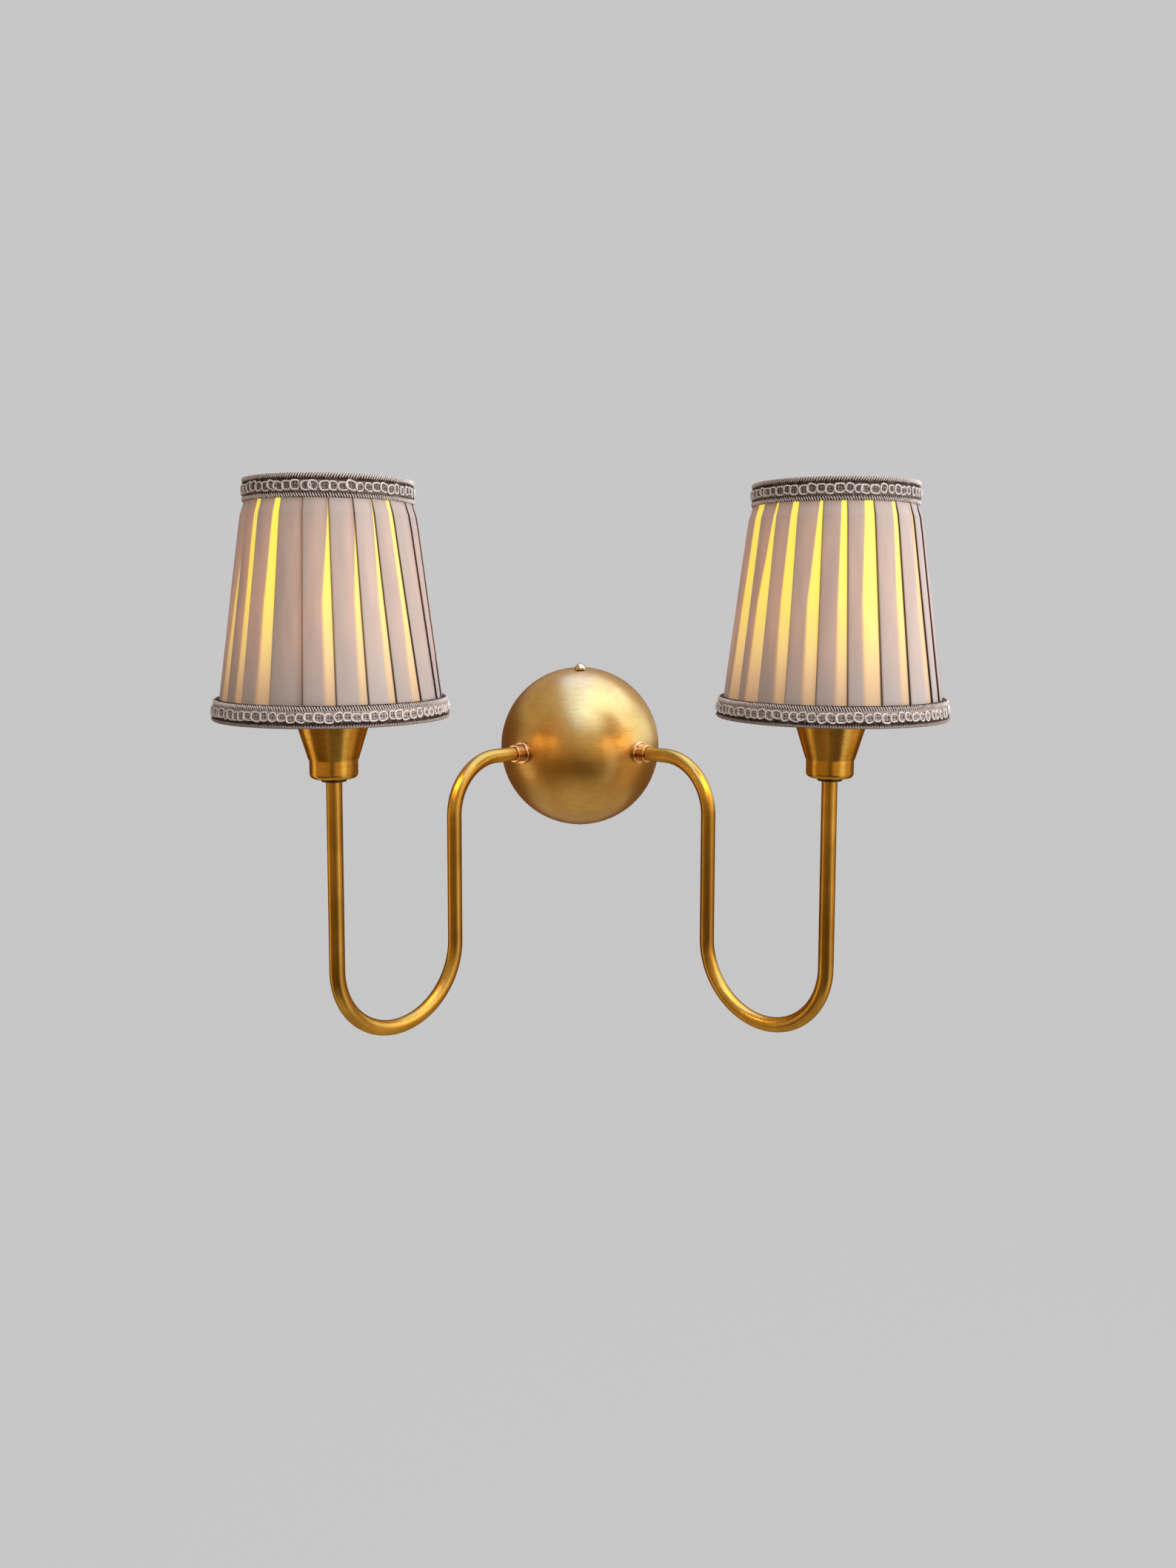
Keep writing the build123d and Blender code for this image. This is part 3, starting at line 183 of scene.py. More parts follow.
class Graph:
    """Adds and links the nodes of one node tree."""

    def __init__(self, tree):
        self.tree = tree

    def node(self, kind, **settings):
        made = self.tree.nodes.new(kind)
        for key, value in settings.items():
            setattr(made, key, value)
        return made

    def put(self, socket, value):
        if isinstance(value, bpy.types.NodeSocket):
            self.tree.links.new(value, socket)
        elif isinstance(value, (tuple, Vector)) and socket.type == "RGBA":
            socket.default_value = (*value[:3], 1.0)
        else:
            socket.default_value = value

    def fill(self, node, **values):
        """Links or sets a node's own inputs by name, with _ for a space."""
        for name, value in values.items():
            self.put(node.inputs[name.replace("_", " ")], value)

    def math(self, operation, first, second=0.0, clamp=False):
        made = self.node("ShaderNodeMath", operation=operation, use_clamp=clamp)
        self.put(made.inputs[0], first)
        self.put(made.inputs[1], second)
        return made.outputs[0]

    def plus(self, first, second, clamp=False):
        return self.math("ADD", first, second, clamp)

    def times(self, first, second, clamp=False):
        return self.math("MULTIPLY", first, second, clamp)

    def step(self, value, low, high, to_low=0.0, to_high=1.0):
        """A smooth step of value from low to high."""
        made = self.node("ShaderNodeMapRange", interpolation_type="SMOOTHSTEP")
        for socket, setting in zip(made.inputs, (value, low, high, to_low, to_high)):
            self.put(socket, setting)
        return made.outputs[0]

    def mix(self, factor, first, second):
        made = self.node("ShaderNodeMix", data_type="RGBA")
        for index, value in ((0, factor), (6, first), (7, second)):
            self.put(made.inputs[index], value)
        return made.outputs[2]

    def vector(self, operation, first, second=(0, 0, 0)):
        made = self.node("ShaderNodeVectorMath", operation=operation)
        self.put(made.inputs[0], first)
        self.put(made.inputs[1], second)
        return made.outputs["Value" if operation == "DOT_PRODUCT" else "Vector"]

    def noise(self, vector, scale, detail=3.0, roughness=0.5):
        made = self.node("ShaderNodeTexNoise")
        self.fill(made, Vector=vector, Scale=scale, Detail=detail, Roughness=roughness)
        return made.outputs["Fac"]

    def bump(self, height, strength, distance, normal=None):
        made = self.node("ShaderNodeBump")
        self.fill(made, Strength=strength, Distance=distance, Height=height)
        if normal:
            self.put(made.inputs["Normal"], normal)
        return made.outputs[0]

    def attribute(self, name):
        return self.node("ShaderNodeAttribute", attribute_name=name).outputs["Fac"]

    def stretched(self, source, scale):
        made = self.node("ShaderNodeMapping")
        self.fill(made, Vector=source, Scale=scale)
        return made.outputs[0]

    def place(self):
        return self.node("ShaderNodeTexCoord").outputs["Object"]

    def cloth(self):
        """The cloth's own map, in metres."""
        return self.node("ShaderNodeUVMap", uv_map="cloth").outputs[0]

    def cloth_noise(self, across, along, detail=2.0, roughness=0.5):
        """Noise on the cloth's own map, with how fine it is across and along."""
        return self.noise(self.stretched(self.cloth(), (across, along, 1.0)), 1.0, detail, roughness)

    def use(self, group, **values):
        made = self.node("ShaderNodeGroup", node_tree=group)
        self.fill(made, **values)
        return made.outputs


def new_material(name):
    """An empty material: its graph and its Principled BSDF."""
    made = bpy.data.materials.new(name)
    made.use_nodes = True
    graph = Graph(made.node_tree)
    return made, graph, made.node_tree.nodes["Principled BSDF"]


def new_group(name, inputs, outputs):
    tree = bpy.data.node_groups.new(name, "ShaderNodeTree")
    for socket, kind in inputs:
        tree.interface.new_socket(socket, in_out="INPUT", socket_type=kind)
    for socket, kind in outputs:
        tree.interface.new_socket(socket, in_out="OUTPUT", socket_type=kind)
    graph = Graph(tree)
    return tree, graph, graph.node("NodeGroupInput").outputs, graph.node("NodeGroupOutput").inputs


def effect(name, build):
    """A shared node group, built once."""
    return bpy.data.node_groups.get(name) or build(name)


def brushing(name):
    """Fine streaks and a slow patina: a height for the bump, a mask for the colour and a roughness."""
    tree, graph, given, out = new_group(
        name,
        [("Streaks", "NodeSocketVector"), ("Low", "NodeSocketFloat"), ("High", "NodeSocketFloat")],
        [("Height", "NodeSocketFloat"), ("Patina", "NodeSocketFloat"), ("Roughness", "NodeSocketFloat")],
    )
    fine = graph.noise(given["Streaks"], 900.0, 4.0, 0.6)
    broad = graph.noise(given["Streaks"], 120.0, 2.0)
    graph.put(out["Height"], graph.plus(fine, graph.times(broad, 0.6)))
    slow = graph.noise(graph.place(), 26.0, 4.0, 0.6)
    blend = graph.plus(graph.times(slow, 0.7), graph.times(broad, 0.3))
    graph.put(out["Patina"], graph.step(blend, 0.40, 0.62))
    spread = graph.math("SUBTRACT", given["High"], given["Low"])
    graph.put(out["Roughness"], graph.plus(given["Low"], graph.times(fine, spread)))
    return tree


def weave(name):
    """Over-and-under threads on a UV map in metres: a height and a mask of the gaps between the threads."""
    tree, graph, given, out = new_group(
        name,
        [("Cloth", "NodeSocketVector"), ("Across", "NodeSocketFloat"), ("Along", "NodeSocketFloat")],
        [("Height", "NodeSocketFloat"), ("Gaps", "NodeSocketFloat")],
    )
    parts = graph.node("ShaderNodeSeparateXYZ")
    graph.put(parts.inputs[0], given["Cloth"])
    threads = []
    for axis, pitch in ((0, "Across"), (1, "Along")):
        turns = graph.math("DIVIDE", parts.outputs[axis], given[pitch])
        threads.append(graph.math("SINE", graph.times(turns, math.tau)))
    both = graph.times(threads[0], threads[1])
    graph.put(out["Height"], graph.math("MULTIPLY_ADD", both, 0.5))
    crossing = graph.plus(graph.math("ABSOLUTE", threads[0]), graph.math("ABSOLUTE", threads[1]))
    graph.put(out["Gaps"], graph.step(crossing, 0.65, 1.30, 1.0, 0.0))
    return tree


# ---- Metal finishes ----


def ball_normal(graph, centre):
    """The even normal of a ball, wherever the surface follows that ball."""
    facing = graph.node("ShaderNodeNewGeometry").outputs
    even = graph.vector("NORMALIZE", graph.vector("SUBTRACT", graph.place(), tuple(centre)))
    follows = graph.step(graph.vector("DOT_PRODUCT", facing["True Normal"], even), 0.85, 0.95)
    mixed = graph.node("ShaderNodeMix", data_type="VECTOR")
    for index, value in ((0, follows), (4, facing["Normal"]), (5, even)):
        graph.put(mixed.inputs[index], value)
    return mixed.outputs[1]


def brushed_finish(graph, streaks, low, high):
    """The brushing's height, patina and roughness, on the part's own place."""
    streaks = graph.stretched(graph.place(), streaks)
    return graph.use(effect("Brushing", brushing), Streaks=streaks, Low=low, High=high)


def brass(name, streaks, low, high, age=0.0, grain=0.06, coat=0.35, ball=None):
    """Brushed antique brass under a thin lacquer, browner with age.

    Streaks is how much finer the brushing is along X, Y and Z, low and high are its roughness, and ball is the middle
    of a half ball whose surface is to shade evenly.
    """
    tones = bpy.context.scene.sconce_metal
    made, graph, shader = new_material(name)
    brushed = brushed_finish(graph, streaks, low, high)
    aged = [bright + (brown - bright) * age for bright, brown in zip(tones.brass, tones.brown)]
    deep = [brown * (1 - 0.3 * age) for brown in tones.brown]
    if grain:
        true_ball = ball and ball_normal(graph, ball)
        graph.put(shader.inputs["Normal"], graph.bump(brushed["Height"], grain, 0.0003, true_ball))
    graph.fill(
        shader, Base_Color=graph.mix(brushed["Patina"], tuple(deep), tuple(aged)), Roughness=brushed["Roughness"],
        Metallic=1.0, Specular_Tint=(0.80, 0.52, 0.26), Coat_Weight=coat, Coat_Roughness=0.32,
    )
    return made


def plain_metal(name, tone, low, high, coat=0.0):
    """Lightly brushed metal of one tone; low and high are its roughness."""
    made, graph, shader = new_material(name)
    brushed = brushed_finish(graph, (1.0, 1.0, 3.0), low, high)
    darker = tuple(channel * 0.8 for channel in tone)
    graph.fill(
        shader, Base_Color=graph.mix(brushed["Patina"], darker, tuple(tone)), Roughness=brushed["Roughness"],
        Normal=graph.bump(brushed["Height"], 0.05, 0.0003), Metallic=1.0, Coat_Weight=coat,
    )
    return made


def moulded(name, tone, roughness=0.4, speckle=0.06):
    """Moulded plastic with a fine grain and a little uneven gloss."""
    made, graph, shader = new_material(name)
    grain = graph.noise(graph.place(), 2200.0, 2.0)
    slow = graph.noise(graph.place(), 60.0, 2.0)
    pale = tuple(min(1.0, channel * (1 + speckle)) for channel in tone)
    deep = tuple(channel * (1 - speckle) for channel in tone)
    graph.fill(
        shader, Base_Color=graph.mix(slow, deep, pale), Roughness=graph.step(slow, 0, 1, roughness, roughness + 0.15),
        Normal=graph.bump(grain, 0.08, 0.0002),
    )
    return made


def bulb_glass_finish():
    """Frosted glass, lit from inside; the camera sees it dimmer than it shines."""
    made, graph, shader = new_material("lit_frosted_glass")
    cloud = graph.noise(graph.place(), 40.0, 2.0)
    seen = graph.node("ShaderNodeLightPath").outputs["Is Camera Ray"]
    glow = graph.mix(cloud, (1.0, 0.76, 0.36), (1.0, 0.84, 0.46))
    graph.fill(
        shader, Base_Color=graph.mix(cloud, (0.96, 0.90, 0.78), (1.0, 0.96, 0.86)), Roughness=0.45,
        Emission_Color=graph.mix(seen, glow, (0.045, 0.039, 0.026)), Emission_Strength=14.0,
    )
    return made


def dress(nodes, material):
    """Puts a material on the CAD nodes of those names."""
    for name in nodes:
        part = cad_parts[name]
        if not part.material_slots:
            part.data.materials.append(material)
        for held in part.material_slots:
            held.material = material


def both_sides(*names):
    return [f"{side}_{name}" for side in SIDES for name in names]


# ---- Cloth finishes ----


def satin(name, tones):
    """The pleats' satin: grey where the cloth lies folded behind, lit where one layer is left."""
    made, graph, shader = new_material(name)
    into, height, bright, across, fold_tone = (
        graph.attribute(kind) for kind in ("into_patch", "height", "brightness", "across", "shade_of")
    )
    woven = graph.use(effect("Weave", weave), Cloth=graph.cloth(), Across=0.00042, Along=0.00036)
    slub = graph.cloth_noise(260.0, 1500.0, 3.0)
    clouds = graph.cloth_noise(90.0, 22.0)
    # Where the patch of light lies, and the warm light that soaks out round it.
    blur = graph.step(height, 0.0, 1.0, 0.20, 0.05)
    patch = graph.times(graph.step(graph.math("DIVIDE", into, blur), -0.5, 0.5), bright)
    near = graph.step(into, -0.9, 0.0, 0.45, 1.0)
    rise = graph.times(graph.step(height, 0.02, 0.45, 0.12, 1.0), graph.step(height, 0.72, 1.0, 1.0, 0.35))
    soak = graph.times(graph.times(near, rise), graph.step(clouds, 0.3, 0.7, 0.7, 1.15))
    # The cloth's own tone, with painted shade darker to the tucked side, a painted shadow in the creases and painted
    # warm light in the patches.
    painted_crease_shadow = graph.math("MAXIMUM", graph.step(across, 0.945, 0.99), graph.step(across, 0.0, 0.025, 0.35, 0.0))
    painted_crease_shadow = graph.times(painted_crease_shadow, 0.85)
    # painted shade on the side tucked under the next pleat, outside the patch of light
    painted_tucked_shade = graph.times(graph.step(across, 0.70, 0.97, 0.0, 0.30), graph.math("SUBTRACT", 1.0, patch))
    tone = graph.mix(graph.step(slub, 0.35, 0.7, 0.0, 0.10), tuple(tones.cloth), (0.62, 0.55, 0.53))
    tone = graph.mix(fold_tone, graph.mix(0.22, tone, (0.10, 0.06, 0.05)), tone)
    tone = graph.mix(painted_tucked_shade, tone, (0.20, 0.13, 0.11))
    # painted warm light: the cloth's colour turns yellow and peach where the patch of light lies
    tone = graph.mix(patch, tone, graph.mix(height, (0.56, 0.43, 0.31), (0.62, 0.52, 0.20)))
    tone = graph.mix(painted_crease_shadow, tone, (0.035, 0.018, 0.012))
    # The light that comes through it.
    light = graph.mix(graph.step(height, 0.12, 0.62), tuple(tones.light_foot), tuple(tones.light_head))
    light = graph.mix(graph.step(patch, 0.35, 0.95), (0.75, 0.36, 0.05), light)
    open_cloth = graph.math("SUBTRACT", 1.0, painted_crease_shadow)
    through = graph.times(graph.times(patch, graph.step(height, 0.0, 0.34, 0.30, 1.0)), open_cloth)
    soaked = graph.mix(graph.times(soak, open_cloth, clamp=True), (0.0, 0.0, 0.0), tuple(tones.soaked))
    graph.fill(
        shader, Base_Color=tone, Emission_Color=graph.mix(through, soaked, light), Emission_Strength=1.0,
        Roughness=graph.step(slub, 0.2, 0.8, 0.50, 0.66),
        Normal=graph.bump(graph.plus(woven["Height"], slub), 0.15, 0.00010),
        Specular_IOR_Level=0.15, Sheen_Weight=0.12, Sheen_Roughness=0.4,
    )
    return made


def lining_finish(name, tones):
    """Thin lining, lit by the bulb beside it; the camera sees it dimmer than it shines."""
    made, graph, shader = new_material(name)
    woven = graph.use(effect("Weave", weave), Cloth=graph.cloth(), Across=0.0006, Along=0.0006)
    clouds = graph.cloth_noise(50.0, 30.0, 3.0)
    tone = graph.mix(graph.times(woven["Gaps"], 0.25), tuple(tones.lining), (0.5, 0.36, 0.2))
    cloudy = graph.mix(graph.times(clouds, 0.2), tone, (0.9, 0.8, 0.6))
    seen = graph.node("ShaderNodeLightPath").outputs["Is Camera Ray"]
    off_bulb = graph.math("ABSOLUTE", graph.math("SUBTRACT", graph.attribute("height"), 0.48))
    glow = graph.mix(seen, (1.0, 0.80, 0.42), (0.085, 0.060, 0.026))
    graph.fill(
        shader, Base_Color=graph.mix(graph.times(seen, 0.95), cloudy, (0.0, 0.0, 0.0)), Roughness=0.75,
        Emission_Color=graph.mix(graph.step(off_bulb, 0.0, 0.6, 0.42, 0.14), (0.0, 0.0, 0.0), glow),
        Emission_Strength=16.0, Normal=graph.bump(woven["Height"], 0.3, 0.0001),
    )
    return made


def woven_band(name, tones, pale_middle, pale_fuzz=0.35, fuzz_from=0.62, pitch=0.0021):
    """A dark woven band with paler threads.

    Pale_middle lightens the stretch behind the cord's loops, pale_fuzz is how strong the pale fuzz is and fuzz_from
    how rare, and pitch is the weave's, in metres.
    """
    made, graph, shader = new_material(name)
    woven = graph.use(effect("Weave", weave), Cloth=graph.cloth(), Across=pitch, Along=pitch)
    fuzz = graph.cloth_noise(1500.0, 1500.0, 4.0, 0.7)
    fleck = graph.cloth_noise(420.0, 300.0)
    middle = graph.step(graph.math("ABSOLUTE", graph.attribute("off_middle")), 0.45, 0.62, pale_middle, 0.0)
    shown = graph.plus(graph.step(fleck, 0.45, 0.62, 0.0, 0.22), middle, clamp=True)
    threads = graph.times(graph.math("SUBTRACT", 1.0, woven["Gaps"]), shown)
    tone = graph.mix(threads, tuple(tones.band), tuple(tones.thread))
    fuzzy = graph.step(fuzz, fuzz_from, fuzz_from + 0.13, 0.0, pale_fuzz)
    graph.fill(
        shader, Base_Color=graph.mix(fuzzy, tone, (0.55, 0.45, 0.42)), Roughness=0.85, Specular_IOR_Level=0.08,
        Normal=graph.bump(graph.plus(woven["Height"], graph.times(fuzz, 0.8)), 0.7, 0.0004),
    )
    return made


def cord_finish(name, tone, shadow):
    """Twisted cord: slanted plies and a soft, uneven pale thread; shadow darkens the gaps between the plies."""
    made, graph, shader = new_material(name)
    plies = graph.node("ShaderNodeTexWave", wave_type="BANDS", bands_direction="DIAGONAL")
    graph.fill(plies, Vector=graph.place(), Scale=520.0, Distortion=2.0)
    plies = plies.outputs["Fac"]
    patches = graph.noise(graph.place(), 160.0)
    fuzz = graph.noise(graph.place(), 3200.0)
    deep = tuple(channel * shadow for channel in tone)
    base = graph.mix(graph.step(plies, 0.0, 0.7), deep, tuple(tone))
    graph.fill(
        shader, Base_Color=graph.mix(graph.step(patches, 0.5, 0.8, 0.0, 0.2), base, deep), Roughness=0.75,
        Normal=graph.bump(graph.plus(plies, graph.times(fuzz, 0.5)), 0.4, 0.0002), Specular_IOR_Level=0.08,
    )
    return made


# ---- Mesh helpers ----


def shade_axis(side):
    """The middle of a shade in plan."""
    low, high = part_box(f"{side}_shade_lining")
    return (low[0] + high[0]) / 2, (low[1] + high[1]) / 2


def new_piece(name, points, faces):
    """A piece from its points and faces."""
    mesh = bpy.data.meshes.new(name)
    mesh.from_pydata(points, [], faces)
    piece = bpy.data.objects.new(name, mesh)
    bpy.context.collection.objects.link(piece)
    return piece


def ring_faces(rings, around):
    """The faces between level rings of points."""
    faces = []
    for ring in range(rings - 1):
        low, high = ring * around, (ring + 1) * around
        for column in range(around):
            beside = (column + 1) % around
            faces.append((low + column, low + beside, high + beside, high + column))
    return faces


def spun(name, axis, outline, steps=128):
    """A closed outline of (radius, height) points, spun about an upright axis with Blender's own tools."""
    bpy.ops.object.select_all(action="DESELECT")
    bpy.ops.mesh.primitive_plane_add(size=0.001)
    piece = bpy.context.object
    piece.name = name
    bpy.ops.object.mode_set(mode="EDIT")
    bpy.ops.mesh.select_mode(type="VERT")
    bpy.ops.mesh.select_all(action="SELECT")
    bpy.ops.mesh.merge(type="CENTER")
    radius, height = outline[0]
    bpy.ops.transform.translate(value=(axis[0] + radius, axis[1], height))
    for next_radius, next_height in outline[1:] + outline[:1]:
        step = (next_radius - radius, 0, next_height - height)
        bpy.ops.mesh.extrude_region_move(TRANSFORM_OT_translate={"value": step})
        radius, height = next_radius, next_height
    bpy.ops.mesh.select_all(action="SELECT")
    bpy.ops.mesh.remove_doubles(threshold=1e-6)
    bpy.ops.mesh.spin(steps=steps, angle=math.tau, center=(*axis, 0), axis=(0, 0, 1))
    bpy.ops.mesh.select_all(action="SELECT")
    bpy.ops.mesh.remove_doubles(threshold=1e-6)
    bpy.ops.mesh.normals_make_consistent(inside=False)
    bpy.ops.object.mode_set(mode="OBJECT")
    bpy.ops.object.shade_smooth_by_angle(angle=math.radians(40))
    return piece


def wrap_cloth(piece, axis):
    """A UV map in metres, round a piece and across it, and how far each point is from its middle height, -1 to 1."""
    mesh = piece.data
    layer = mesh.uv_layers.new(name="cloth")
    heights = [vertex.co.z for vertex in mesh.vertices]
    low, high = min(heights), max(heights)
    reach = max(math.hypot(vertex.co.x - axis[0], vertex.co.y - axis[1]) for vertex in mesh.vertices)
    middle = mesh.attributes.new("off_middle", "FLOAT", "POINT")
    for vertex in mesh.vertices:
        middle.data[vertex.index].value = (2 * vertex.co.z - low - high) / (high - low)
    for face in mesh.polygons:
        first = None
        for corner in face.loop_indices:
            place = mesh.vertices[mesh.loops[corner].vertex_index].co
            x, y = place.x - axis[0], place.y - axis[1]
            angle = math.atan2(y, x)
            first = angle if first is None else first
            angle += math.tau * round((first - angle) / math.tau)
            layer.data[corner].uv = (angle * reach, place.z + math.hypot(x, y))


def copied(name, model, places):
    """One mesh holding a copy of the model at each place."""
    points = [vertex.co.copy() for vertex in model.data.vertices]
    faces = [tuple(face.vertices) for face in model.data.polygons]
    all_points, all_faces = [], []
    for place in places:
        start = len(all_points)
        all_points.extend(place @ point for point in points)
        all_faces.extend(tuple(start + index for index in face) for face in faces)
    bpy.data.objects.remove(model)
    piece = new_piece(name, all_points, all_faces)
    piece.data.shade_smooth()
    return piece


def on_shade(axis, angle, radius, height, lean=0.0):
    """A place on the shade's surface: X runs round it, Y up it and Z out of it."""
    out = Vector((math.cos(angle), math.sin(angle), 0))
    round_it = Vector((-out.y, out.x, 0))
    up = Vector((0, 0, 1)) * math.cos(lean) + out * math.sin(lean)
    facing = round_it.cross(up)
    turn = Matrix((round_it, up, facing)).transposed().to_4x4()
    return Matrix.Translation((axis[0] + out.x * radius, axis[1] + out.y * radius, height)) @ turn


def finish_piece(piece, material, side, slot, *nodes):
    """Gives a piece its material, and the body and the nodes that it stands for."""
    piece.data.materials.clear()
    piece.data.materials.append(material)
    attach(piece, f"{side}_shade")
    if nodes:
        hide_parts(*nodes)


# ---- Pleated cloth ----


def cloth_profile(side, sizes, braid_foot):
    """Height, radius and fold of the pleats where they change, from the foot up."""
    low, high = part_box(f"{side}_shade_cover")
    foot, head = low[2], high[2]
    skirt_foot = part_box(f"{side}_bottom_braid")[1][2]
    shoulder = head + 1.5 * MM - sizes.shoulder_drop
    return [
        (foot, sizes.skirt_radius + 1.7 * MM, sizes.fold),
        (skirt_foot, sizes.skirt_radius, sizes.fold),
        (shoulder - 8 * MM, sizes.shoulder_radius + 1.0 * MM, sizes.shoulder_fold),
        (shoulder, sizes.shoulder_radius - 0.2 * MM, sizes.shoulder_fold),
        (shoulder + 5 * MM, sizes.waist_radius + 0.9 * MM, sizes.crown_fold * 1.5),
        (braid_foot, sizes.waist_radius, sizes.crown_fold),
        (head, sizes.waist_radius - 0.5 * MM, sizes.crown_fold),
    ]


def at_height(profile, height):
    """Radius and fold between the two nearest entries of a profile."""
    for (z0, r0, f0), (z1, r1, f1) in zip(profile, profile[1:]):
        if height <= z1 + 1e-9:
            share = (height - z0) / (z1 - z0)
            return r0 + (r1 - r0) * share, f0 + (f1 - f0) * share
    return profile[-1][1], profile[-1][2]


class Pleat:
    """One pleat's own character: where its fold strays to, and the patch of light at its far end."""

    def __init__(self, side, number, count, chance):
        wrapped = (number + count // 2) % count - count // 2
        self.head_stray, self.foot_stray = STRAY_FOLDS[side].get(
            wrapped, (chance.uniform(-1.2, 1.2), chance.uniform(-1.2, 1.2))
        )
        unseen = (
            chance.choice((0.0, 0.0, 0.15, 0.25)),
            chance.uniform(0.15, 0.40),
            chance.uniform(0.25, 0.45),
            chance.uniform(0.70, 1.05),
            chance.uniform(0.5, 0.9),
        )
        self.head, self.middle, self.foot, self.start, self.brightness = LIT_PLEATS[side].get(wrapped, unseen)
        self.shade_of = chance.uniform(0.35, 1.0)
        self.waves = [
            (chance.uniform(0.8, 3.2), chance.uniform(-2.5, 2.5), chance.uniform(0, math.tau)) for _ in range(3)
        ]

    def fold_angle(self, number, pitch, share):
        """Where its folded edge lies, in degrees from the first fold, at a share of the cloth's height."""
        return number * pitch + self.foot_stray + (self.head_stray - self.foot_stray) * share

    def slack(self, t, share):
        """How far the loose cloth stands in or out, from -1 to 1, at a place on the pleat."""
        sway = sum(math.sin(math.tau * (up * share + over * t) + phase) for up, over, phase in self.waves) / 3
        return sway * math.sin(math.pi * t) * math.sin(math.pi * min(1.0, share * 1.04))

    def patch(self, share):
        """How much of the pleat lets light through at a share of the cloth's height."""
        if share > self.start:
            return 0.0
        if share < 0.5:
            wide = self.foot + (self.middle - self.foot) * share * 2
        else:
            top = min(self.start, 1.0)
            rise = (share - 0.5) / max(top - 0.5, 0.01)
            wide = self.middle + (self.head - self.middle) * rise
        return max(wide, 0.0)


# Where points lie across a pleat's front, from its folded edge, and across the cloth tucked under the next pleat.
FRONT_STEPS = (0.0, 0.015, 0.05, 0.11, 0.19, 0.28, 0.37, 0.46, 0.55, 0.64, 0.73, 0.81, 0.88, 0.94, 0.98, 1.0)
UNDER_STEPS = (0.08, 0.5, 1.0)
SLACK = 0.30 * MM  # how far the loose cloth sways in and out


def pleat_row(pleats, pitch, share, radius, fold):
    """One level ring of the cloth: each point's angle, radius, and values across, into_patch, brightness, shade_of."""
    row = []
    for number, pleat in enumerate(pleats):
        start = pleat.fold_angle(number, pitch, share)
        after = pleats[(number + 1) % len(pleats)]
        end = after.fold_angle(number + 1, pitch, share)
        patch = pleat.patch(share)
        next_patch = after.patch(share)
        for t in FRONT_STEPS:
            rolled = fold * 0.30 * max(0.0, 1 - t / 0.03) ** 2
            belly = fold * 0.20 * math.sin(math.pi * t) + SLACK * pleat.slack(t, share)
            out = radius - fold * t - rolled + belly
            row.append((start + (end - start) * t, out, t, t - 1 + patch, pleat.brightness, pleat.shade_of))
        reach = (end - start) * min(0.75, max(0.15, 1 - next_patch - 0.05))
        for t in UNDER_STEPS:
            row.append((end + reach * t, radius - fold * (1.0 + 0.22 * t), 1.0, -1.0, 0.0, 0.5))
        for t in reversed(UNDER_STEPS[:-1]):
            row.append((end + reach * t, radius - fold * (0.80 - 0.25 * (1 - t)), 0.0, -1.0, 0.0, 0.5))
    return row


def pleated_cloth(side, sizes, rows=56):
    """The whole cover as one folded sheet, with its UV map and the attributes that its satin reads."""
    axis = shade_axis(side)
    chance = random.Random(11 if side == "left" else 29)
    pleats = [Pleat(side, number, sizes.pleats, chance) for number in range(sizes.pleats)]
    profile = cloth_profile(side, sizes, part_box(f"{side}_top_braid")[0][2])
    foot, head = profile[0][0], profile[-1][0]
    even = {round(foot + (head - foot) * i / (rows - 1), 6) for i in range(rows)}
    levels = sorted(even | {height for height, _, _ in profile})
    points, values = [], []
    for level in levels:
        share = (level - foot) / (head - foot)
        ring = pleat_row(pleats, 360 / sizes.pleats, share, *at_height(profile, level))
        for degrees, out, across, into, bright, tone in ring:
            angle = math.radians(FIRST_FOLD[side] + degrees)
            points.append((axis[0] + out * math.cos(angle), axis[1] + out * math.sin(angle), level))
            values.append((across, into, bright, share, tone))
    around = len(ring)
    piece = new_piece(f"{side}_pleats", points, ring_faces(len(levels), around))
    mesh = piece.data
    for index, name in enumerate(("across", "into_patch", "brightness", "height", "shade_of")):
        layer = mesh.attributes.new(name, "FLOAT", "POINT")
        layer.data.foreach_set("value", [value[index] for value in values])
    cut = [0.0]  # the way along the hem to each of its points
    for here, there in zip(points[:around], points[1:around] + points[:1]):
        cut.append(cut[-1] + math.dist(here, there))
    uv = mesh.uv_layers.new(name="cloth")
    for face in mesh.polygons:
        columns = [mesh.loops[corner].vertex_index % around for corner in face.loop_indices]
        seam = 0 in columns and around - 1 in columns
        for corner, column in zip(face.loop_indices, columns):
            level = mesh.vertices[mesh.loops[corner].vertex_index].co.z
            uv.data[corner].uv = (cut[around] if seam and column == 0 else cut[column], level)
    bpy.ops.object.select_all(action="DESELECT")
    piece.select_set(True)
    bpy.context.view_layer.objects.active = piece
    bpy.ops.object.shade_smooth_by_angle(angle=math.radians(50))
    return piece, (cut[-1], head - foot)


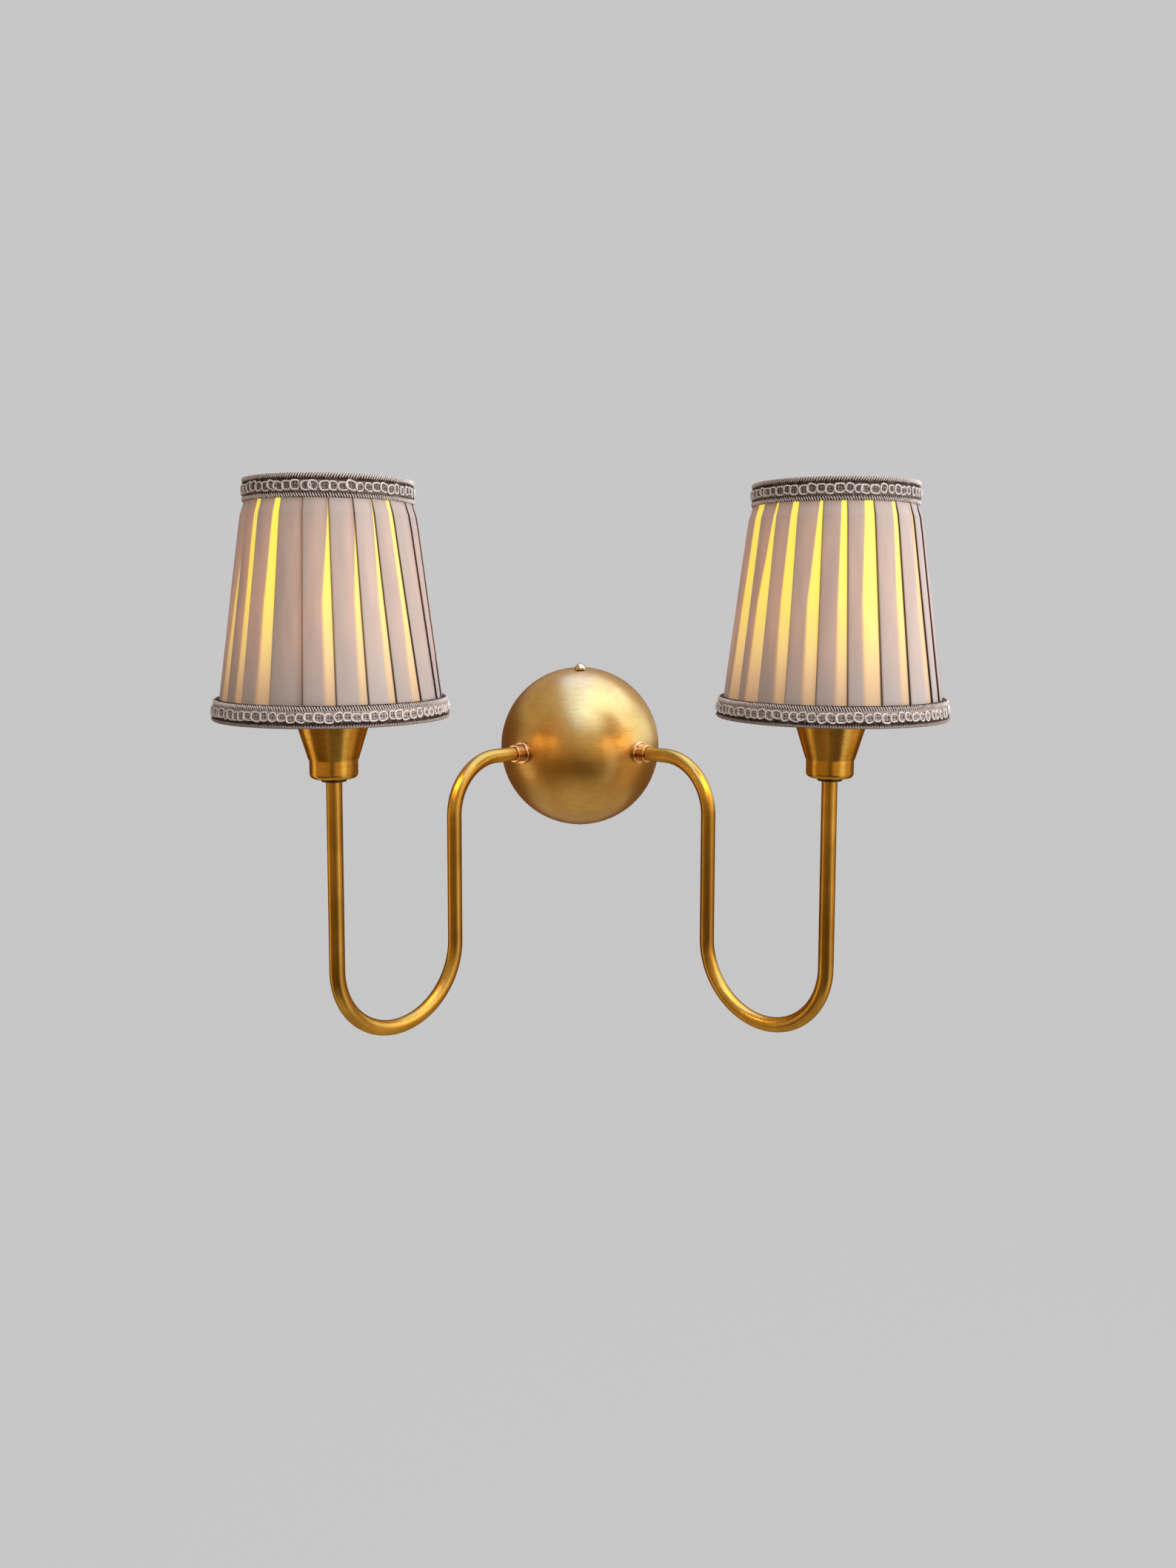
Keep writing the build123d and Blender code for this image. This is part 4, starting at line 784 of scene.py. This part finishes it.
def lining_cloth(side, columns=132, rows=24):
    """The lining as one smooth cone, drawn a little flat between the frame's ribs."""
    axis = shade_axis(side)
    low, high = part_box(f"{side}_shade_lining")
    tall = high[2] - low[2]
    foot_radius = (high[0] - low[0]) / 2 - 0.3 * MM
    slope = 0.1336  # how much narrower it gets for its height
    ribs, flatness = 6, 0.25 * MM
    points, shares = [], []
    for row in range(rows):
        share = row / (rows - 1)
        level = low[2] + tall * share
        radius = foot_radius - (level - low[2]) * slope
        for column in range(columns):
            angle = math.tau * column / columns
            out = radius + flatness * math.cos(ribs * (angle - math.pi / 2)) * math.sin(math.pi * share)
            points.append((axis[0] + out * math.cos(angle), axis[1] + out * math.sin(angle), level))
            shares.append(share)
    piece = new_piece(f"{side}_lining_cloth", points, ring_faces(rows, columns))
    piece.data.shade_smooth()
    piece.data.attributes.new("height", "FLOAT", "POINT").data.foreach_set("value", shares)
    wrap_cloth(piece, axis)
    return piece, (math.tau * (foot_radius - tall * slope / 2), tall)


# ---- Operators ----


class SCONCE_OT_brass(bpy.types.Operator):
    """Finish the canopy, arms, cups, cones, collars and nuts"""

    bl_idname = "sconce.brass"
    bl_label = "Brass"

    def execute(self, context):
        tones = context.scene.sconce_metal
        low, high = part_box("canopy")
        centre = ((low[0] + high[0]) / 2, low[1] + (high[0] - low[0]) / 2, (low[2] + high[2]) / 2)
        canopy = brass("canopy_brass", (1.0, 1.0, 9.0), 0.30, 0.42, coat=0.8, ball=centre)
        tube = brass("tube_brass", (0.2, 0.2, 0.2), 0.27, 0.34, age=0.6, grain=0.0, coat=0.2)
        turned = brass("turned_brass", (1.0, 1.0, 12.0), 0.20, 0.30, age=0.35, grain=0.03, coat=0.2)
        polished = plain_metal("polished_brass", tones.polished, 0.08, 0.15, coat=0.3)
        dress(["canopy"], canopy)
        dress(both_sides("arm"), tube)
        dress(both_sides("cup", "cone"), turned)
        dress(both_sides("collar") + ["canopy_screw"], polished)
        dress(both_sides("seat_nut"), plain_metal("darkened_brass", tones.dark, 0.35, 0.5))
        return {"FINISHED"}


class SCONCE_OT_fittings(bpy.types.Operator):
    """Finish the bracket, the wiring and the lampholders"""

    bl_idname = "sconce.fittings"
    bl_label = "Fittings"

    def execute(self, context):
        steel = plain_metal("zinc_plated_steel", context.scene.sconce_metal.steel, 0.28, 0.42)
        dress(["wall_bracket", "canopy_stud", "earth_screw"] + both_sides("collar_washer", "holder_screws"), steel)
        bright = plain_metal("bright_brass", (0.80, 0.62, 0.30), 0.2, 0.3)
        dress(["terminal_poles"] + both_sides("collar_nut", "socket_shell", "centre_contact"), bright)
        dress(["terminal_block"], moulded("block_plastic", (0.82, 0.80, 0.74), 0.5))
        dress(["earth_lead"], moulded("earth_sleeve", (0.16, 0.40, 0.07), 0.35, 0.25))
        dress(both_sides("arm_wires"), moulded("wire_sleeve", (0.16, 0.06, 0.03), 0.35, 0.15))
        dress(both_sides("lampholder", "shade_ring"), moulded("holder_plastic", (0.80, 0.74, 0.62), 0.3))
        dress(both_sides("shade_fitter", "shade_frame"), moulded("coated_wire", (0.78, 0.75, 0.70), 0.35))
        return {"FINISHED"}


class SCONCE_OT_bulbs(bpy.types.Operator):
    """Finish the lit candle bulbs"""

    bl_idname = "sconce.bulbs"
    bl_label = "Bulbs"

    def execute(self, context):
        dress(both_sides("bulb_cap"), plain_metal("cap_metal", (0.70, 0.70, 0.68), 0.18, 0.3))
        dress(both_sides("bulb_contact"), moulded("black_insulator", (0.02, 0.02, 0.022), 0.2))
        dress(both_sides("bulb_housing"), moulded("bulb_plastic", (0.86, 0.84, 0.79), 0.3))
        dress(both_sides("bulb_board"), moulded("board_resist", (0.84, 0.83, 0.76), 0.5))
        dress(both_sides("bulb_glass"), bulb_glass_finish())
        return {"FINISHED"}


class SCONCE_OT_pleats(bpy.types.Operator):
    """Fold the pleated cloth of both shades"""

    bl_idname = "sconce.pleats"
    bl_label = "Pleated cloth"

    def execute(self, context):
        finish = satin("pleated_satin", context.scene.sconce_tones)
        for side in SIDES:
            piece, cut = pleated_cloth(side, context.scene.sconce_shade)
            finish_piece(piece, finish, side, "pleated_cloth", f"{side}_shade_cover")
        return {"FINISHED"}


class SCONCE_OT_lining(bpy.types.Operator):
    """Line both shades"""

    bl_idname = "sconce.lining"
    bl_label = "Lining"

    def execute(self, context):
        finish = lining_finish("lining_cloth", context.scene.sconce_tones)
        for side in SIDES:
            piece, cut = lining_cloth(side)
            finish_piece(piece, finish, side, "lining_cloth", f"{side}_shade_lining")
        return {"FINISHED"}


class SCONCE_OT_bindings(bpy.types.Operator):
    """Bind the top and bottom edges of both shades with folded tape"""

    bl_idname = "sconce.bindings"
    bl_label = "Edge bindings"

    def execute(self, context):
        finish = woven_band("binding_tape", context.scene.sconce_tones, 1.0, 0.85, 0.46)
        steps = 9  # round each of the tape's folded edges
        for side in SIDES:
            axis = shade_axis(side)
            for place, wide in (("top", 8.2 * MM), ("bottom", 9.0 * MM)):
                low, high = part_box(f"{side}_{place}_binding")
                outer = (high[0] - low[0]) / 2
                middle, half = (low[2] + high[2]) / 2, (high[2] - low[2]) / 2
                outline = []
                for end, start in ((outer - half, -90), (outer - wide + half, 90)):
                    for i in range(steps + 1):
                        turn = math.radians(start + 180 * i / steps)
                        outline.append((end + half * math.cos(turn), middle + half * math.sin(turn)))
                piece = spun(f"{side}_{place}_tape", axis, outline)
                wrap_cloth(piece, axis)
                finish_piece(piece, finish, side, "braid_cloth", f"{side}_{place}_binding")
        return {"FINISHED"}


def between(low, high, at_low, at_high):
    """A radius that runs evenly from the low height to the high one, as a function of the height."""
    return lambda height: at_low + (at_high - at_low) * ((height - low) / (high - low))


def band_outline(foot, head, foot_radius, head_radius, depth, crown=0.35 * MM, rounding=0.5 * MM, steps=8):
    """A thin band, leaning from foot to head, its outside slightly crowned and its edges rounded."""
    outline = [(foot_radius - depth, foot)]
    for i in range(steps + 1):
        share = i / steps
        edge = rounding * (abs(2 * share - 1) ** 6)
        radius = foot_radius + (head_radius - foot_radius) * share
        outline.append((radius + crown * math.sin(math.pi * share) - edge, foot + (head - foot) * share))
    outline.append((head_radius - depth, head))
    return outline


def looped_cord(name, axis, sizes, radius, middle, lean, chance):
    """The chain of overlapping, slightly square cord loops along the middle of a band."""
    squareness = 0.06
    count = round(math.tau * radius / sizes.loop_pitch)
    bpy.ops.object.select_all(action="DESELECT")
    bpy.ops.mesh.primitive_torus_add(
        major_segments=20, minor_segments=6, major_radius=(sizes.loop - sizes.cord) / 2, minor_radius=sizes.cord / 2
    )
    ring = bpy.context.object
    for vertex in ring.data.vertices:
        vertex.co.xy *= 1.0 - squareness * math.cos(4 * math.atan2(vertex.co.y, vertex.co.x))
    places = []
    for i in range(count):
        angle = math.tau * (i + chance.uniform(-0.14, 0.14)) / count
        place = on_shade(axis, angle, radius, middle + chance.uniform(-0.5, 0.5) * MM, lean)
        tilt = Matrix.Rotation(math.radians(9 + chance.uniform(-3, 3)), 4, "Y")
        roll = Matrix.Rotation(math.radians(chance.uniform(-25, 25)), 4, "Z")
        squeeze = Matrix.Diagonal((chance.uniform(0.88, 1.30), chance.uniform(0.84, 1.05), 0.85, 1))
        places.append(place @ tilt @ roll @ squeeze)
    return copied(name, ring, places)


def slanted_stitches(name, axis, radius, height, sizes, chance, slant, length_share):
    """A round of slanted over-stitches, as along the edge of a gimp braid; slant is in degrees."""
    count = round(math.tau * radius / sizes.stitch_pitch)
    wide, thick = sizes.stitch_pitch * 0.50, 1.1 * MM
    bpy.ops.object.select_all(action="DESELECT")
    bpy.ops.mesh.primitive_uv_sphere_add(segments=6, ring_count=6, radius=0.5)
    bead = bpy.context.object
    bead.data.transform(Matrix.Diagonal((wide, thick, sizes.stitch * length_share, 1)))
    bead.data.transform(Matrix.Rotation(math.pi / 2, 4, "X"))
    places = []
    for i in range(count):
        angle = math.tau * i / count
        out = radius + chance.uniform(-0.1, 0.1) * MM
        place = on_shade(axis, angle, out, height + chance.uniform(-0.12, 0.12) * MM)
        places.append(place @ Matrix.Rotation(math.radians(slant + chance.uniform(-6, 6)), 4, "Z"))
    return copied(name, bead, places)


class SCONCE_OT_braids(bpy.types.Operator):
    """Sew the gimp braid round the top and bottom of both shades"""

    bl_idname = "sconce.braids"
    bl_label = "Braid"

    def execute(self, context):
        sizes, tones = context.scene.sconce_shade, context.scene.sconce_tones
        band_finishes = {
            "top": woven_band("top_braid_band", tones, 0.50, pitch=0.0034),
            "bottom": woven_band("bottom_braid_band", tones, 1.00, 0.55, 0.56, pitch=0.0034),
        }
        loop_finish = cord_finish("loop_cord", tones.cord, 0.80)
        edge_finish = cord_finish("edge_stitches", (1.0, 0.93, 0.89), 0.75)
        rim_finishes = {"top": edge_finish, "bottom": cord_finish("rim_stitches", (0.58, 0.50, 0.46), 0.6)}
        for side in SIDES:
            chance = random.Random(f"{side} braid")
            axis = shade_axis(side)
            for place in ("top", "bottom"):
                top = place == "top"
                low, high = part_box(f"{side}_{place}_braid")
                foot, head = low[2], high[2]
                lean_in = 0.0 if top else 1.7 * MM
                foot_radius = (high[0] - low[0]) / 2 - 0.55 * MM
                head_radius = foot_radius - lean_in
                radius_at = between(foot, head, foot_radius, head_radius)
                outline = band_outline(foot, head, foot_radius, head_radius, (1.0 if top else 2.4) * MM)
                band = spun(f"{side}_{place}_band", axis, outline)
                wrap_cloth(band, axis)
                finish_piece(band, band_finishes[place], side, "braid_cloth", f"{side}_{place}_braid")
                middle = (foot + head) / 2 + (0.6 if top else -0.9) * MM
                lean = math.atan2(-lean_in, head - foot)
                around = radius_at(middle) + 0.5 * MM
                loops = looped_cord(f"{side}_{place}_loops", axis, sizes, around, middle, lean, chance)
                finish_piece(loops, loop_finish, side, "braid_cloth")
                inner = foot + 1.3 * MM if top else head - 1.7 * MM
                edge_radius = radius_at(inner) + 0.15 * MM
                edge = slanted_stitches(
                    f"{side}_{place}_inner_edge", axis, edge_radius, inner, sizes, chance, 28, 1.0 if top else 1.2
                )
                finish_piece(edge, edge_finish, side, "braid_cloth")
                outer = head + 0.2 * MM if top else foot - 0.2 * MM
                tape_low, tape_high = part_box(f"{side}_{place}_binding")
                rim_radius = max((tape_high[0] - tape_low[0]) / 2, radius_at(outer)) - 0.2 * MM
                rim = slanted_stitches(
                    f"{side}_{place}_outer_edge", axis, rim_radius, outer, sizes, chance, -30, 1.1 if top else 0.6
                )
                finish_piece(rim, rim_finishes[place], side, "braid_cloth")
        return {"FINISHED"}


# ---- Studio ----


def seen_colour(graph, flat, lit):
    """A shader that the camera, mirrors and glass see as flat, and that lights the scene as lit."""
    path = graph.node("ShaderNodeLightPath").outputs
    seen = graph.math("MAXIMUM", path["Is Camera Ray"], path["Is Glossy Ray"])
    seen = graph.math("MAXIMUM", seen, path["Is Transmission Ray"])
    mixed = graph.node("ShaderNodeMixShader")
    for index, value in enumerate((seen, lit, flat)):
        graph.put(mixed.inputs[index], value)
    return mixed.outputs[0]


def studio_world(grey, fill):
    """A world that shows grey and lights the part with a warm tone of the strength fill."""
    world = bpy.data.worlds.new("studio")
    world.use_nodes = True
    bpy.context.scene.world = world
    graph = Graph(world.node_tree)
    flat = world.node_tree.nodes["Background"]
    graph.fill(flat, Color=(grey, grey, grey))
    lit = graph.node("ShaderNodeBackground")
    graph.fill(lit, Color=(1.0, 0.80, 0.67), Strength=fill)
    out = world.node_tree.nodes["World Output"]
    graph.put(out.inputs["Surface"], seen_colour(graph, flat.outputs[0], lit.outputs[0]))


def floor_finish(grey):
    """A pale floor. The camera sees the background's grey with a faint shadow, and the part sees plain pale grey."""
    made, graph, shader = new_material("studio_floor")
    shown = grey - 0.013  # the rest of the grey is the lamps' light on the floor
    graph.fill(
        shader, Base_Color=(0.03, 0.03, 0.03), Roughness=1.0, Specular_IOR_Level=0.0,
        Emission_Color=(shown, shown, shown), Emission_Strength=1.0,
    )
    pale = graph.node("ShaderNodeBsdfDiffuse")
    graph.fill(pale, Color=(grey, grey, grey))
    out = made.node_tree.nodes["Material Output"]
    graph.put(out.inputs["Surface"], seen_colour(graph, shader.outputs[0], pale.outputs[0]))
    return made


def aimed(place, target, axis):
    """The turn that points an axis from a place to a target."""
    return (Vector(target) - Vector(place)).to_track_quat(axis, "Y")


def card(name, size, place, target, tone):
    """A coloured card that only shows in polished metal."""
    bpy.ops.object.select_all(action="DESELECT")
    bpy.ops.mesh.primitive_plane_add(size=1.0)
    sheet = bpy.context.object
    sheet.name = name
    turn = aimed(place, target, "Z").to_matrix().to_4x4()
    sheet.data.transform(Matrix.Translation(place) @ turn @ Matrix.Diagonal((*size, 1, 1)))
    made, graph, shader = new_material(name)
    graph.fill(shader, Base_Color=(0, 0, 0), Emission_Color=tone, Emission_Strength=1.0, Specular_IOR_Level=0.0)
    made.cycles.emission_sampling = "NONE"
    sheet.data.materials.append(made)
    sheet.visible_camera = sheet.visible_diffuse = sheet.visible_shadow = sheet.visible_transmission = False


def softbox(name, power, size, place, target):
    data = bpy.data.lights.new(name, "AREA")
    data.shape = "RECTANGLE"
    data.size, data.size_y = size
    data.energy = power
    lamp = bpy.data.objects.new(name, data)
    lamp.location = place
    lamp.rotation_euler = aimed(place, target, "-Z").to_euler()
    bpy.context.collection.objects.link(lamp)


def photo_camera():
    """A camera at the photograph's viewing angle."""
    data = bpy.data.cameras.new("photo_camera")
    data.sensor_width = 36.0
    data.lens = 27.21
    data.shift_x = -0.0072
    data.shift_y = -0.0513
    data.clip_start = 0.01
    camera = bpy.data.objects.new("photo_camera", data)
    heading, tilt, roll = -1.74, -5.0, -0.18  # degrees from a level look along Y
    turn = Matrix.Identity(4)
    for degrees, axis in ((heading, "Z"), (tilt, "X"), (roll, "Y"), (90, "X")):
        turn = turn @ Matrix.Rotation(math.radians(degrees), 4, axis)
    camera.matrix_world = Matrix.Translation((-12.69 * MM, -903.06 * MM, 111.10 * MM)) @ turn
    bpy.context.collection.objects.link(camera)
    bpy.context.scene.camera = camera


class SCONCE_OT_stage(bpy.types.Operator):
    """Set up the floor, the lamps, the background and the camera"""

    bl_idname = "sconce.stage"
    bl_label = "Studio"

    def execute(self, context):
        studio = context.scene.sconce_studio
        context.scene.view_settings.view_transform = "Standard"
        studio_world(studio.backdrop, studio.fill)
        bpy.ops.object.select_all(action="DESELECT")
        bpy.ops.mesh.primitive_plane_add(size=60.0, location=(0, 0, -1.5))
        floor = context.object
        floor.name = "studio_floor"
        floor.data.materials.append(floor_finish(studio.backdrop))
        softbox("overhead", studio.key, (3.0, 3.1), (1.12, -0.45, 1.35), (1.12, -0.45, 0))
        softbox("side", studio.side, (1.6, 2.2), (1.5, -0.95, 0.05), (0, -0.1, 0.05))
        reach, middle_y = 1.4, -0.1  # how far the surrounding cards stand off, and the lamp's middle
        for name, start, end, low, high, tone in SURROUND:
            middle, half = math.radians((start + end) / 2), math.radians((end - start) / 2)
            place = (reach * math.sin(middle), middle_y - reach * math.cos(middle), (low + high) / 2)
            card(name, (2 * reach * math.tan(half), high - low), place, (0, middle_y, place[2]), tone)
        for settings in FLAT_CARDS:
            card(*settings)
        photo_camera()
        return {"FINISHED"}


class SCONCE_PT_panel(bpy.types.Panel):
    """The sconce's sizes, colours and steps"""

    bl_idname = "SCONCE_PT_panel"
    bl_label = "Sconce"
    bl_space_type = "VIEW_3D"
    bl_region_type = "UI"
    bl_category = "Sconce"

    def draw(self, context):
        for owner, settings in SETTINGS.items():
            box = self.layout.box()
            group = getattr(context.scene, owner)
            for name in settings.__annotations__:
                box.prop(group, name)
        for step in STEPS:
            self.layout.operator(step.bl_idname)


SETTINGS = {
    "sconce_shade": ShadeSizes,
    "sconce_tones": ShadeColours,
    "sconce_metal": MetalColours,
    "sconce_studio": StudioSettings,
}
STEPS = (
    SCONCE_OT_brass,
    SCONCE_OT_fittings,
    SCONCE_OT_bulbs,
    SCONCE_OT_pleats,
    SCONCE_OT_lining,
    SCONCE_OT_bindings,
    SCONCE_OT_braids,
    SCONCE_OT_stage,
)


def register():
    for owner, settings in SETTINGS.items():
        bpy.utils.register_class(settings)
        setattr(bpy.types.Scene, owner, bpy.props.PointerProperty(type=settings))
    for kind in (*STEPS, SCONCE_PT_panel):
        bpy.utils.register_class(kind)


def unregister():
    for kind in reversed((*STEPS, SCONCE_PT_panel)):
        bpy.utils.unregister_class(kind)
    for owner, settings in reversed(SETTINGS.items()):
        delattr(bpy.types.Scene, owner)
        bpy.utils.unregister_class(settings)


def main():
    register()
    bpy.ops.sconce.brass()
    bpy.ops.sconce.fittings()
    bpy.ops.sconce.bulbs()
    bpy.ops.sconce.pleats()
    bpy.ops.sconce.lining()
    bpy.ops.sconce.bindings()
    bpy.ops.sconce.braids()
    bpy.ops.sconce.stage()


if __name__ == "__main__":
    main()
